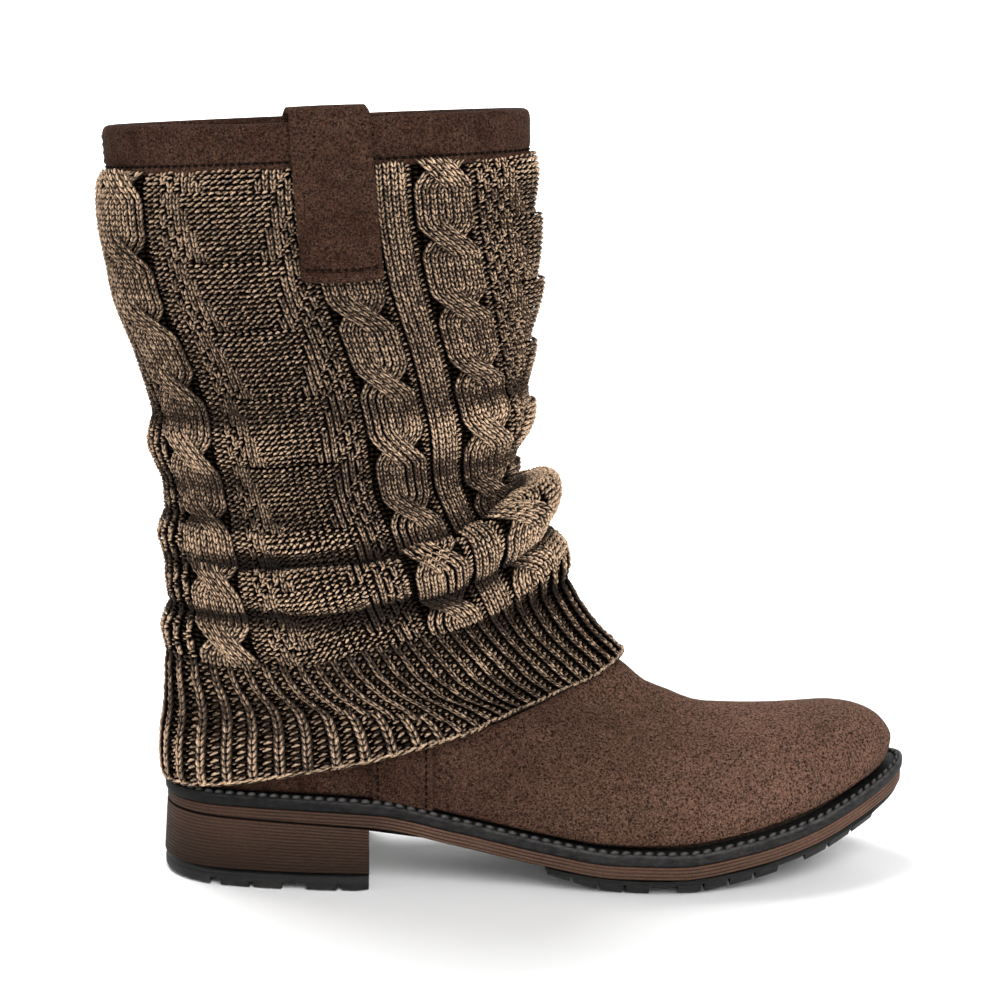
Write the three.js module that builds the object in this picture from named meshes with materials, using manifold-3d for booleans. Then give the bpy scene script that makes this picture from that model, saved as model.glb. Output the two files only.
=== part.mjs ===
// A right mid-calf boot: suede-look foot and shaft on a low block heel, with a cable-knit sleeve
// slouched over the shaft. x runs from the back of the heel to the toe, y from the outer side
// (negative) to the inner side, z up from the floor. Lengths are in millimetres.
import * as THREE from 'three';
import { mergeVertices } from 'three/addons/utils/BufferGeometryUtils.js';
import Module from 'manifold-3d';

// Driving dimensions.
const LENGTH = 279.5; // sole, back of the heel to the tip of the toe
const BALL_WIDTH = 95; // sole across the ball
const HEEL_WIDTH = 66; // sole across the heel seat
const WAIST_WIDTH = 72; // sole across the waist
const HEEL_HEIGHT = 34.5; // floor to the top of the welt at the heel
const TOE_SPRING = 22; // rise of the welt from the ball to the toe's tip
const SHAFT_HEIGHT = 279.8; // floor to the collar's front edge
const COLLAR_DROP = 6; // how far the collar's back lies below its front
const COLLAR_LENGTH = 149.5; // shaft at the collar, back to front
const COLLAR_WIDTH = 78; // shaft at the collar, side to side
const COLLAR_BACK = -15; // the shaft's back at the collar, from the back of the heel
const INSTEP_HEIGHT = 78; // floor to the instep where the cuff's front edge lies
const TOE_HEIGHT = 59.5; // floor to the top of the toe box
const WALL = 2.2; // suede and lining of the upper
const FIT = 0.3; // clearance between pieces that touch
const LEDGE = 4.7; // welt that shows outside the upper
const WELT_THICKNESS = 4.4;
const WELT_RIM = 9; // welt strip, outer edge to inner edge
const WELT_EDGE = 0.6; // rounding of the welt's outer edge
const PLUG_GAP = 1; // clearance between the welt's inner edge and the filler under the insole
const INSOLE_THICKNESS = 3;
const MIDSOLE_THICKNESS = 4.7;
const MIDSOLE_INSET = 0.7; // midsole inside the welt's edge, and its rounding
const HEEL_LENGTH = 77.5; // back of the heel to its breast
const HEEL_TURN = 2.5; // how far the breast's inner end lies behind its outer end
const HEEL_INSET = 0.8; // heel block inside the welt's edge
const HEEL_FLARE = 1.6; // how far the heel spreads from its top to the floor
const HEEL_GROOVES = 3; // main grooves round the heel block
const GROOVE_DEPTH = 0.7;
const LIFT_BASE = 2.9; // top lift above its lugs
const LIFT_LUGS = 3.5;
const LIFT_EDGE = 0.5; // step of the lift's edge
const LIFT_BEVEL = 1.2; // how far the lift's back edge rises from the floor
const LIFT_BEVEL_LENGTH = 23;
const TREAD_START = 141; // the tread's rear edge, from the back of the heel
const TREAD_BASE = 2.6; // tread above its lugs
const LUG_DEPTH = 4.2;
const LUG_PITCH = 9.5;
const LUG_GAP = 0.9;
const LUG_BEVEL = 4.6; // slope of the edge lugs' outer faces
const LUG_INSET = 2; // edge lugs inside the sole's edge
const EDGE_LUG_WIDTH = 28.5;
const TREAD_INSET = 1.6; // tread inside the sole's edge
const TREAD_EDGE = 0.8; // rounding of the tread's lower edge
const FIRST_LUG = 1.2; // tread's rear edge to its first lug
const TOE_BARE = 11; // bare tread in front of the last lug
const STRIP_WIDTH = 22;
const STRIP_FRONT = 101; // front edge of the side strip, from the back of the heel
const STRIP_THICKNESS = 1.3;
const STRIP_SEAT = 0.75; // clearance under the strip, which spans the upper's curve
const STRIP_HEIGHT = 36; // side strip above the welt
const SLEEVE_WALL = 3.2;
const SLEEVE_EASE = 0.8; // clearance between the sleeve and the upper
const SLACK = 0.6; // how far the sleeve's middle stands out from its ends
const CABLE_RELIEF = 3; // how far the cables stand out of the sleeve
const RIB_RELIEF = 1.5;
const RIB_COUNT = 52;
const FOLD_DEPTH = 9; // largest bulge of the slouched sleeve
const HEM_FRONT = 169.7; // how far the cuff reaches over the instep, from the back of the heel
const HEM_SAG = 6; // how far the hem hangs at the sides
const BAND_HEIGHT = 15;
const BAND_THICKNESS = 1.7;
const BAND_INSIDE = 9; // band inside the collar
const STRAP_WIDTH = 27;
const STRAP_THICKNESS = 2;
const STRAP_DROP = 54.5; // strap's outer end below the collar
const STRAP_INSIDE = 34; // strap's inner end below the collar
const STRAP_CENTRE = 66.2; // middle of the strap at the collar, from the back of the heel
const STRAP_LEAN = 4; // how far forward the strap's outer end lies
const STRAP_RISE = 1.4; // open loop between the band and the strap
const STRAP_LIFT = 1.3; // how far the strap's outer end stands off the knit
const STRAP_PRESS = 5; // how far beside the strap the knit is pressed in
const HEEL_REST = 38; // centre of the heel's rest, from its back

// Heights that follow from the pieces stacked in the sole.
const treadDepth = TREAD_BASE + LUG_DEPTH;
const soleStack = WELT_THICKNESS + MIDSOLE_THICKNESS + 2 * FIT;
const ballHeight = soleStack + treadDepth;
const liftHeight = LIFT_BASE + LIFT_LUGS;

// A smooth curve through the points of a table column, with no overshoot between them.
function curve(knots, values) {
  const last = knots.length - 1;
  const slopes = knots.slice(1).map((k, i) => (values[i + 1] - values[i]) / (k - knots[i]));
  const tangents = values.map((_, i) => {
    if (i === 0) return slopes[0];
    if (i === last) return slopes[last - 1];
    const [a, b] = [slopes[i - 1], slopes[i]];
    return a * b <= 0 ? 0 : (2 * a * b) / (a + b);
  });
  return (x) => {
    const t = Math.min(Math.max(x, knots[0]), knots[last]);
    let i = 0;
    while (i < last - 1 && t > knots[i + 1]) i += 1;
    const h = knots[i + 1] - knots[i];
    const s = (t - knots[i]) / h;
    const a = values[i] * (1 + 2 * s) * (1 - s) ** 2 + values[i + 1] * s * s * (3 - 2 * s);
    return a + h * s * (1 - s) * (tangents[i] * (1 - s) - tangents[i + 1] * s);
  };
}

const column = (table, key) => table.map((row) => row[key]);
const mix = (a, b, t) => a + (b - a) * t;
const clamp = (x, low, high) => Math.min(Math.max(x, low), high);
const alongAt = (angle) => (1 - Math.cos(angle)) / 2; // 0 at the back of a ring, 1 at its front
const evenAngles = (count) => Array.from({ length: count }, (_, i) => (2 * Math.PI * i) / count);

// Side profile of the welt's top: shares of the heel's lift and of the toe spring, and how deep the
// tread's lugs are there.
const PROFILE = [
  { at: 0, heel: 1.02, toe: 0, lug: 1 },
  { at: 0.14, heel: 1, toe: 0, lug: 1 },
  { at: 0.28, heel: 0.915, toe: 0, lug: 1 },
  { at: 0.39, heel: 0.57, toe: 0, lug: 1 },
  { at: 0.5, heel: 0.2, toe: 0, lug: 0.45 },
  { at: 0.6, heel: 0, toe: 0, lug: 1 },
  { at: 0.68, heel: 0, toe: 0, lug: 1 },
  { at: 0.77, heel: 0, toe: 0.15, lug: 0.95 },
  { at: 0.86, heel: 0, toe: 0.4, lug: 0.8 },
  { at: 0.93, heel: 0, toe: 0.7, lug: 0.6 },
  { at: 1, heel: 0, toe: 1.03, lug: 0.45 },
];
const heelLift = curve(column(PROFILE, 'at'), column(PROFILE, 'heel'));
const toeLift = curve(column(PROFILE, 'at'), column(PROFILE, 'toe'));
const lugShare = curve(column(PROFILE, 'at'), column(PROFILE, 'lug'));

function weltTop(x) {
  const at = clamp(x / LENGTH, 0, 1);
  return ballHeight + heelLift(at) * (HEEL_HEIGHT - ballHeight) + toeLift(at) * TOE_SPRING;
}
const weltBottom = (x) => weltTop(x) - WELT_THICKNESS;
const midsoleTop = (x) => weltBottom(x) - FIT;
const midsoleBottom = (x) => midsoleTop(x) - MIDSOLE_THICKNESS;
const treadTop = (x) => midsoleBottom(x) - FIT;
const treadBottom = (x) => treadTop(x) - TREAD_BASE - LUG_DEPTH * lugShare(x / LENGTH);

// Plan of the sole: the half width of the oval through each station, and how far the middle line
// bends to the inner side there, which makes it a right boot.
const STATIONS = ['heelEnd', 'heel', 'waist', 'ball', 'tread', 'toeEnd'];
const PLAN = {
  heelEnd: { at: 0, half: 0.985 * HEEL_WIDTH },
  heel: { at: 0.13, half: 0.735 * HEEL_WIDTH },
  waist: { at: 0.45, half: 0.5 * WAIST_WIDTH },
  ball: { at: 0.7, half: 0.545 * BALL_WIDTH },
  tread: { at: 0.86, half: 0.585 * BALL_WIDTH },
  toeEnd: { at: 1, half: 0.547 * BALL_WIDTH },
};
const stationAt = STATIONS.map((name) => PLAN[name].at);
const planHalf = curve(stationAt, STATIONS.map((name) => PLAN[name].half));
const BEND = [
  { at: 0, middle: 0 },
  { at: 0.15, middle: 0 },
  { at: 0.3, middle: -0.016 },
  { at: 0.5, middle: -0.053 },
  { at: 0.66, middle: -0.026 },
  { at: 0.8, middle: 0.002 },
  { at: 0.9, middle: 0.037 },
  { at: 1, middle: 0.079 },
];
const bendShare = curve(column(BEND, 'at'), column(BEND, 'middle'));
const middle = (x) => bendShare(clamp(x / LENGTH, 0, 1)) * BALL_WIDTH;

function planPoint(angle) {
  const along = alongAt(angle);
  const x = LENGTH * along;
  return new THREE.Vector2(x, middle(x) + planHalf(along) * Math.sin(angle));
}

// The plan's outline, set in from the sole's edge by a fixed distance.
function insetPoint(angle, inset) {
  const step = 0.01;
  const tangent = planPoint(angle + step).sub(planPoint(angle - step)).normalize();
  const point = planPoint(angle);
  return new THREE.Vector2(point.x - inset * tangent.y, point.y + inset * tangent.x);
}

function planRing(count, inset, height) {
  return evenAngles(count).map((angle) => {
    const p = insetPoint(angle, -inset);
    return new THREE.Vector3(p.x, p.y, height(p.x));
  });
}

// Sections of the upper's outside, from the welt up. Foot sections reach from the heel's back to a
// point on the toe, vamp or instep. back and front are shares of LENGTH, rise of INSTEP_HEIGHT
// above the welt at the back, toe and instep place the front's height, and follow says how much
// the section keeps of the sole's side profile. The widths are shares of the seat on the welt.
const FOOT = [
  { back: 0.0136, rise: 0, front: 0.978, toe: 0, instep: 0, follow: 1,
    heelEnd: 1, heel: 1, waist: 1, ball: 1, tread: 1, toeEnd: 1 },
  { back: 0.01, rise: 0.125, front: 0.979, toe: 0.3, instep: 0, follow: 1,
    heelEnd: 1.03, heel: 1.035, waist: 1.05, ball: 1.03, tread: 1.025, toeEnd: 1.02 },
  { back: 0.012, rise: 0.225, front: 0.966, toe: 0.59, instep: 0, follow: 0.95,
    heelEnd: 1.03, heel: 1.035, waist: 1.06, ball: 1.005, tread: 0.98, toeEnd: 0.97 },
  { back: 0.017, rise: 0.315, front: 0.938, toe: 0.855, instep: 0, follow: 0.9,
    heelEnd: 1.01, heel: 1.01, waist: 1.06, ball: 0.92, tread: 0.86, toeEnd: 0.89 },
  { back: 0.02, rise: 0.4, front: 0.894, toe: 1, instep: 0, follow: 0.75,
    heelEnd: 1, heel: 0.99, waist: 1.05, ball: 0.8, tread: 0.68, toeEnd: 0.7 },
  { back: 0.0215, rise: 0.48, front: 0.819, toe: 0.904, instep: 0, follow: 0.55,
    heelEnd: 1, heel: 0.975, waist: 1.035, ball: 0.665, tread: 0.51, toeEnd: 0.49 },
  { back: 0.023, rise: 0.555, front: 0.723, toe: 1, instep: 0.02, follow: 0.4,
    heelEnd: 1, heel: 0.965, waist: 1.03, ball: 0.6, tread: 0.45, toeEnd: 0.42 },
  { back: 0.0243, rise: 0.63, front: 0.658, toe: 1, instep: 0.41, follow: 0.3,
    heelEnd: 0.96, heel: 0.95, waist: 1.03, ball: 0.59, tread: 0.45, toeEnd: 0.42 },
  { back: 0.0257, rise: 0.72, front: 0.61, toe: 1, instep: 0.95, follow: 0.2,
    heelEnd: 0.93, heel: 0.94, waist: 1.05, ball: 0.61, tread: 0.49, toeEnd: 0.46 },
  { back: 0.027, rise: 0.82, front: 0.5635, toe: 1, instep: 1.62, follow: 0.1,
    heelEnd: 0.86, heel: 0.93, waist: 1.065, ball: 0.64, tread: 0.55, toeEnd: 0.55 },
  { back: 0.027, rise: 0.97, front: 0.526, toe: 1, instep: 2.5, follow: 0,
    heelEnd: 0.76, heel: 0.905, waist: 1.08, ball: 0.685, tread: 0.635, toeEnd: 0.635 },
];

// Shaft sections are ovals: rise is a share of SHAFT_HEIGHT, back and front of COLLAR_LENGTH from
// the collar's back, drop of COLLAR_DROP and width of COLLAR_WIDTH.
const SHAFT = [
  { rise: 0.46, back: 0.148, front: 1.017, drop: 0.2, width: 0.9 },
  { rise: 0.541, back: 0.14, front: 0.953, drop: 0.3, width: 0.92 },
  { rise: 0.61, back: 0.127, front: 0.968, drop: 0.4, width: 0.935 },
  { rise: 0.7, back: 0.084, front: 0.988, drop: 0.5, width: 0.96 },
  { rise: 0.806, back: 0.02, front: 0.999, drop: 0.6, width: 0.985 },
  { rise: 0.91, back: 0.011, front: 1, drop: 0.8, width: 1 },
  { rise: 1, back: 0, front: 1, drop: 1, width: 1 },
];

// Half width of the upper's seat on the welt, at each station of the plan.
function seatHalf(name) {
  const { at, half } = PLAN[name];
  const spread = at > 0 && at < 1 ? 2 * Math.sqrt(at * (1 - at)) : 1;
  return half - LEDGE / spread;
}

function footSection(row) {
  const tip = weltTop(LENGTH) + FIT;
  const toe = row.toe * (TOE_HEIGHT - tip);
  const instep = row.instep * (INSTEP_HEIGHT - TOE_HEIGHT);
  const section = { back: row.back * LENGTH, front: row.front * LENGTH, follow: row.follow };
  section.backZ = weltTop(0) + FIT + row.rise * INSTEP_HEIGHT;
  section.frontZ = tip + toe + instep;
  STATIONS.forEach((name) => { section[name] = row[name] * seatHalf(name); });
  return section;
}

function shaftSection(row) {
  const section = { follow: 0 };
  section.back = COLLAR_BACK + row.back * COLLAR_LENGTH;
  section.front = COLLAR_BACK + row.front * COLLAR_LENGTH;
  section.frontZ = row.rise * SHAFT_HEIGHT;
  section.backZ = section.frontZ - row.drop * COLLAR_DROP;
  STATIONS.forEach((name) => { section[name] = 0.5 * row.width * COLLAR_WIDTH; });
  return section;
}

const sections = [...FOOT.map(footSection), ...SHAFT.map(shaftSection)];
const TOP = sections.length - 1;
const sectionIndex = sections.map((_, i) => i);
const sectionCurve = {};
for (const key of ['back', 'front', 'backZ', 'frontZ', 'follow', ...STATIONS]) {
  sectionCurve[key] = curve(sectionIndex, column(sections, key));
}

// The section at any level from 0, on the welt, to TOP, at the collar.
function sectionAt(level) {
  const section = {};
  for (const key of Object.keys(sectionCurve)) section[key] = sectionCurve[key](level);
  section.half = curve(stationAt, STATIONS.map((name) => section[name]));
  return section;
}

function pointOn(section, angle) {
  const along = alongAt(angle);
  const x = mix(section.back, section.front, along);
  const chord = mix(weltTop(section.back), weltTop(section.front), along);
  const z = mix(section.backZ, section.frontZ, along) + section.follow * (weltTop(x) - chord);
  const y = section.follow * middle(x) + section.half(along) * Math.sin(angle);
  return new THREE.Vector3(x, y, z);
}

// A point on the upper's outside, moved out along the surface normal.
function upperPoint(level, angle, offset) {
  const step = 0.02;
  const low = Math.max(level - step, 0);
  const high = Math.min(level + step, TOP);
  const up = pointOn(sectionAt(high), angle).sub(pointOn(sectionAt(low), angle));
  const here = sectionAt(level);
  const round = pointOn(here, angle + step).sub(pointOn(here, angle - step));
  const normal = up.cross(round).normalize();
  return pointOn(here, angle).addScaledVector(normal, offset);
}

// The level at which the surface leaves what lies below a line, found by halving.
function levelWhere(isBelow) {
  let [low, high] = [0, TOP];
  for (let i = 0; i < 24; i += 1) {
    const half = (low + high) / 2;
    if (isBelow(half)) low = half;
    else high = half;
  }
  return (low + high) / 2;
}

function ringPoint(angle, height, offset) {
  const level = levelWhere((l) => pointOn(sectionAt(l), angle).z < height);
  return upperPoint(level, angle, offset);
}

const OUTER = -1; // side of the boot that faces out
function angleAt(section, x, side) {
  const along = clamp((x - section.back) / (section.front - section.back), 0, 1);
  return side * Math.acos(1 - 2 * along);
}

// A point of the outer side at a place along the boot and a height. Above the collar it rises
// straight up.
function sidePoint(x, height, offset) {
  const at = (level) => {
    const section = sectionAt(level);
    return pointOn(section, angleAt(section, x, OUTER));
  };
  const level = levelWhere((l) => at(l).z < height);
  const point = upperPoint(level, angleAt(sectionAt(level), x, OUTER), offset);
  if (height > at(TOP).z) point.z += height - at(TOP).z;
  return point;
}

const collarSection = sectionAt(TOP);
const collarHeight = (angle) => pointOn(collarSection, angle).z;

// Solids from rings of points. Faces are turned outwards at the end, whichever way the rings run.
function solid(points, faces) {
  let volume = 0;
  for (const [a, b, c] of faces) volume += points[a].dot(points[b].clone().cross(points[c]));
  const outward = volume < 0 ? faces.map(([a, b, c]) => [a, c, b]) : faces;
  const geometry = new THREE.BufferGeometry();
  const flat = points.flatMap((p) => [p.x, p.y, p.z]);
  geometry.setAttribute('position', new THREE.Float32BufferAttribute(flat, 3));
  geometry.setIndex(outward.flat());
  geometry.computeVertexNormals();
  return geometry;
}

// Faces between two rings. The second may have half as many points as the first, or twice.
function stitch(a, b) {
  const faces = [];
  if (b.length > a.length) return stitch(b, a).map(([p, q, r]) => [p, r, q]);
  if (a.length === b.length) {
    a.forEach((_, i) => {
      const j = (i + 1) % a.length;
      faces.push([a[i], a[j], b[j]], [a[i], b[j], b[i]]);
    });
    return faces;
  }
  b.forEach((_, i) => {
    const j = (i + 1) % b.length;
    const [p, q, r] = [a[2 * i], a[2 * i + 1], a[(2 * i + 2) % a.length]];
    faces.push([p, q, b[i]], [q, r, b[j]], [q, b[j], b[i]]);
  });
  return faces;
}

// Faces across a ring, from each point to the one over against it. flatFront closes a ring whose
// first and last points are the two ends of a straight edge.
function across(ring, flatFront) {
  const count = ring.length;
  const partner = (i) => (flatFront ? count - 1 - i : (count - i) % count);
  const faces = [];
  for (let i = 0; i < Math.floor(count / 2); i += 1) {
    const quad = [i, i + 1, partner(i + 1), partner(i)];
    const corners = quad.filter((k, n) => quad.indexOf(k) === n).map((k) => ring[k]);
    if (corners.length > 2) faces.push([corners[0], corners[1], corners[2]]);
    if (corners.length > 3) faces.push([corners[0], corners[2], corners[3]]);
  }
  return faces;
}

function numbered(rings) {
  let next = 0;
  return rings.map((ring) => ring.map(() => next++));
}

// A hollow wall: the rings run up one side and down the other, and the last meets the first.
function tubeSolid(rings) {
  const index = numbered(rings);
  const faces = index.flatMap((ring, i) => stitch(ring, index[(i + 1) % index.length]));
  return solid(rings.flat(), faces);
}

// A filled body: the rings run from one end to the other, and both ends are closed.
function stackSolid(rings, flatFront = false) {
  const index = numbered(rings);
  const faces = across(index[0], flatFront).map(([a, b, c]) => [a, c, b]);
  for (let i = 0; i + 1 < index.length; i += 1) faces.push(...stitch(index[i], index[i + 1]));
  faces.push(...across(index[index.length - 1], flatFront));
  return solid(rings.flat(), faces);
}

const steps = (count) => Array.from({ length: count + 1 }, (_, i) => i / count);

// Booleans.
const wasm = await Module();
wasm.setup();

function toManifold(geometry) {
  const bare = geometry.clone();
  bare.deleteAttribute('normal');
  const merged = mergeVertices(bare, 1e-4);
  const vertProperties = new Float32Array(merged.attributes.position.array);
  const triVerts = new Uint32Array(merged.index.array);
  return new wasm.Manifold(new wasm.Mesh({ numProp: 3, vertProperties, triVerts }));
}

function fromManifold(body) {
  const { vertProperties, triVerts } = body.getMesh();
  const geometry = new THREE.BufferGeometry();
  geometry.setAttribute('position', new THREE.Float32BufferAttribute(vertProperties, 3));
  geometry.setIndex(Array.from(triVerts));
  geometry.computeVertexNormals();
  return geometry;
}

// The upper: one hollow wall, foot and shaft in one.
const UPPER_AROUND = 40;
const UPPER_LEVELS = [0, 0.5, 1.1, 1.9, 2.8, 3.7, 4.7, 5.9, 7, 8, 9, 10, 11, 12, 13, 14, 15.3, TOP];
const UPPER_LINING_LEVELS = [TOP, 15, 12, 10, 8, 6, 4.3, 2.6, 1, 0];

function upper() {
  const angles = evenAngles(UPPER_AROUND);
  const ring = (offset) => (level) => angles.map((angle) => upperPoint(level, angle, offset));
  return tubeSolid([...UPPER_LEVELS.map(ring(0)), ...UPPER_LINING_LEVELS.map(ring(-WALL))]);
}

// The sole's layers.
const SOLE_AROUND = 48;
const INSOLE_AROUND = 40;

function welt() {
  return tubeSolid([
    planRing(SOLE_AROUND, WELT_RIM, weltBottom),
    planRing(SOLE_AROUND, WELT_EDGE, weltBottom),
    planRing(SOLE_AROUND, 0, (x) => mix(weltBottom(x), weltTop(x), 0.7)),
    planRing(SOLE_AROUND, WELT_EDGE, weltTop),
    planRing(SOLE_AROUND, WELT_RIM, weltTop),
  ]);
}

function insole() {
  const plug = WELT_RIM + PLUG_GAP;
  const seat = LEDGE + WALL + 2 * FIT;
  const base = (x) => midsoleTop(x) + 2 * FIT;
  const shelf = (x) => weltTop(x) + 2 * FIT;
  const top = (x) => shelf(x) + INSOLE_THICKNESS;
  return stackSolid([
    planRing(INSOLE_AROUND, plug, base),
    planRing(INSOLE_AROUND, plug, shelf),
    planRing(INSOLE_AROUND, seat + 0.5 * INSOLE_THICKNESS, shelf),
    planRing(INSOLE_AROUND, seat + 0.5 * INSOLE_THICKNESS, top),
  ]);
}

function midsole() {
  return stackSolid([
    planRing(SOLE_AROUND, 2 * MIDSOLE_INSET, midsoleBottom),
    planRing(SOLE_AROUND, MIDSOLE_INSET, (x) => mix(midsoleBottom(x), midsoleTop(x), 0.2)),
    planRing(SOLE_AROUND, MIDSOLE_INSET, (x) => mix(midsoleBottom(x), midsoleTop(x), 0.85)),
    planRing(SOLE_AROUND, 2 * MIDSOLE_INSET, midsoleTop),
  ]);
}

// A ring round the heel, from the breast's outer end round the back to its inner end. spread moves
// it out from the sole's edge.
const HEEL_AROUND = 22;
const TOP_GROOVE = 0.9; // share of the block's height at which its top groove lies
const GROOVE_SPREAD = 0.045; // half of a groove's width, as a share of the block's height

function heelRing(spread, height) {
  const reach = Math.acos(1 - (2 * HEEL_LENGTH) / LENGTH);
  return steps(HEEL_AROUND).map((share) => {
    const p = insetPoint(mix(-reach, reach, share), spread);
    const side = clamp(0.5 + p.y / HEEL_WIDTH, 0, 1);
    const x = p.x - HEEL_TURN * side * clamp(p.x / HEEL_LENGTH, 0, 1) ** 3;
    return new THREE.Vector3(x, p.y, height(x));
  });
}

function heelBlock() {
  const bottom = liftHeight + FIT;
  const top = (x) => midsoleBottom(x) - FIT;
  const rings = [];
  const at = (share, depth) => {
    const flare = mix(HEEL_FLARE, 0, share) - HEEL_INSET - depth;
    rings.push(heelRing(flare, (x) => mix(bottom, top(x), share)));
  };
  at(0, 0);
  for (let i = 1; i <= HEEL_GROOVES; i += 1) {
    const share = (TOP_GROOVE * i) / HEEL_GROOVES;
    at(share - GROOVE_SPREAD, 0);
    at(share, GROOVE_DEPTH);
    at(share + GROOVE_SPREAD, 0);
  }
  at(1, 0);
  return stackSolid(rings, true);
}

// A block with six faces between two stations along the boot. Each station gives its outer and
// inner edge and its height, at the block's foot and at its head.
function block(stations) {
  const points = stations.flatMap(({ x, footEdges, headEdges, foot, head }) => [
    new THREE.Vector3(x, footEdges[0], foot),
    new THREE.Vector3(x, footEdges[1], foot),
    new THREE.Vector3(x, headEdges[1], head),
    new THREE.Vector3(x, headEdges[0], head),
  ]);
  const rings = [points.slice(0, 4), points.slice(4, 8)];
  const index = numbered(rings);
  const faces = [[0, 2, 1], [0, 3, 2], ...stitch(index[0], index[1]), [4, 5, 6], [4, 6, 7]];
  return solid(points, faces);
}

// Notches in the edge of the top lift, as shares of the heel's length, and their depth as shares of
// the lugs.
const LIFT_NOTCHES = [
  { from: 0.24, to: 0.29, depth: 0.8 },
  { from: 0.43, to: 0.45, depth: 0.6 },
  { from: 0.585, to: 0.7, depth: 0.8 },
  { from: 0.845, to: 0.87, depth: 0.6 },
];
const NOTCH_REACH = 0.3; // of the heel's width, in from each side

function topLift() {
  const flare = HEEL_FLARE - HEEL_INSET;
  const rise = (x) => LIFT_BEVEL * clamp(1 - x / LIFT_BEVEL_LENGTH, 0, 1) ** 2;
  let lift = toManifold(stackSolid([
    heelRing(flare - 2 * LIFT_EDGE, rise),
    heelRing(flare, (x) => rise(x) + LIFT_EDGE),
    heelRing(flare, () => LIFT_LUGS + LIFT_EDGE),
    heelRing(flare - LIFT_EDGE, () => LIFT_LUGS + 2 * LIFT_EDGE),
    heelRing(flare - LIFT_EDGE, () => liftHeight),
  ], true));
  for (const { from, to, depth } of LIFT_NOTCHES) {
    for (const side of [-1, 1]) {
      const edges = [side * HEEL_WIDTH * (0.5 - NOTCH_REACH), side * HEEL_WIDTH];
      const station = (share) => ({
        x: share * HEEL_LENGTH,
        footEdges: edges,
        headEdges: edges,
        foot: -LIFT_LUGS,
        head: depth * LIFT_LUGS,
      });
      lift = lift.subtract(toManifold(block([station(from), station(to)])));
    }
  }
  return fromManifold(lift);
}

// The forefoot tread: a curved slab with lugs fused on, in two edge rows and a middle row.
const TREAD_STATIONS = 12;
const SHORT_LUG_EVERY = 5;
const SHORT_LUG = 0.5; // depth of a short lug, as a share of a full one
const MIDDLE_ROW = [0.1, 0.28]; // the middle row's edges, as shares of the tread's two edges

// The tread's outer and inner edge at a place along the boot.
function treadEdges(x, inset) {
  const angle = Math.acos(1 - (2 * x) / LENGTH);
  return [insetPoint(-angle, -inset).y, insetPoint(angle, -inset).y];
}

function treadSlab() {
  const tip = LENGTH - TREAD_INSET;
  const reach = Math.acos(1 - (2 * TREAD_START) / LENGTH);
  const ring = (setIn, height) => steps(2 * TREAD_STATIONS).map((share) => {
    const p = insetPoint(mix(reach, 2 * Math.PI - reach, share), -setIn);
    return new THREE.Vector3(Math.min(p.x, tip), p.y, height(p.x));
  });
  return stackSolid([
    ring(TREAD_INSET + TREAD_EDGE, (x) => treadTop(x) - TREAD_BASE),
    ring(TREAD_INSET, (x) => treadTop(x) - 0.6 * TREAD_BASE),
    ring(TREAD_INSET, treadTop),
  ], true);
}

function lug(from, to, edgesAt, depthShare) {
  const station = (x) => {
    const [headEdges, footEdges] = edgesAt(x);
    const foot = mix(treadTop(x) - TREAD_BASE, treadBottom(x), depthShare);
    return { x, headEdges, footEdges, foot, head: treadTop(x) - 0.5 * TREAD_BASE };
  };
  return block([station(from), station(to)]);
}

function outsole() {
  let tread = toManifold(treadSlab());
  const end = LENGTH - TOE_BARE;
  const count = Math.floor((end - TREAD_START) / LUG_PITCH);
  for (let i = 0; i < count; i += 1) {
    const from = TREAD_START + FIRST_LUG + i * LUG_PITCH;
    const to = from + LUG_PITCH - LUG_GAP;
    const share = i % SHORT_LUG_EVERY === SHORT_LUG_EVERY - 1 ? SHORT_LUG : 1;
    const edgeRow = (side) => (x) => {
      const edge = treadEdges(x, LUG_INSET)[side];
      const inward = edge < 0 ? 1 : -1;
      const width = Math.min(EDGE_LUG_WIDTH, 0.62 * Math.abs(edge));
      const inner = edge + inward * width;
      return [[edge, inner], [edge + inward * LUG_BEVEL, inner]];
    };
    for (const side of [0, 1]) {
      tread = tread.add(toManifold(lug(from, to, edgeRow(side), share)));
    }
    if (i % 2 === 0 && i + 1 < count) {
      const middleRow = (x) => {
        const [outer, inner] = treadEdges(x, LUG_INSET);
        const [near, far] = MIDDLE_ROW;
        const edges = [far * outer + near * inner, near * outer + far * inner];
        return [edges, edges];
      };
      const long = Math.min(2 * LUG_PITCH - 2 * LUG_GAP, end - from);
      tread = tread.add(toManifold(lug(from, from + long, middleRow, 1)));
    }
  }
  return fromManifold(tread);
}

// The strip over the foot's outer side seam.
function sideStrip() {
  const heights = steps(8);
  const places = steps(3);
  const ringAt = (share) => {
    const face = (offset) => places.map((place) => {
      const x = STRIP_FRONT - STRIP_WIDTH * (1 - place);
      const z = weltTop(x) + 2 * FIT + share * STRIP_HEIGHT;
      return sidePoint(x, z, offset);
    });
    return [...face(STRIP_SEAT), ...face(STRIP_SEAT + STRIP_THICKNESS).reverse()];
  };
  return stackSolid(heights.map(ringAt), true);
}

// The knitted sleeve. Its courses run from the hem, 0, to the collar band, 1.
const sleeveTop = (angle) => collarHeight(angle) - BAND_HEIGHT - FIT;
function hemLine(x) {
  const share = x / HEM_FRONT;
  const sag = HEM_SAG * 4 * share * Math.max(1 - share, 0);
  return mix(weltTop(0) + 2 * FIT, INSTEP_HEIGHT, share) - sag;
}

function hemHeight(angle) {
  const at = (level) => pointOn(sectionAt(level), angle);
  return at(levelWhere((level) => at(level).z < hemLine(at(level).x))).z;
}

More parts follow.
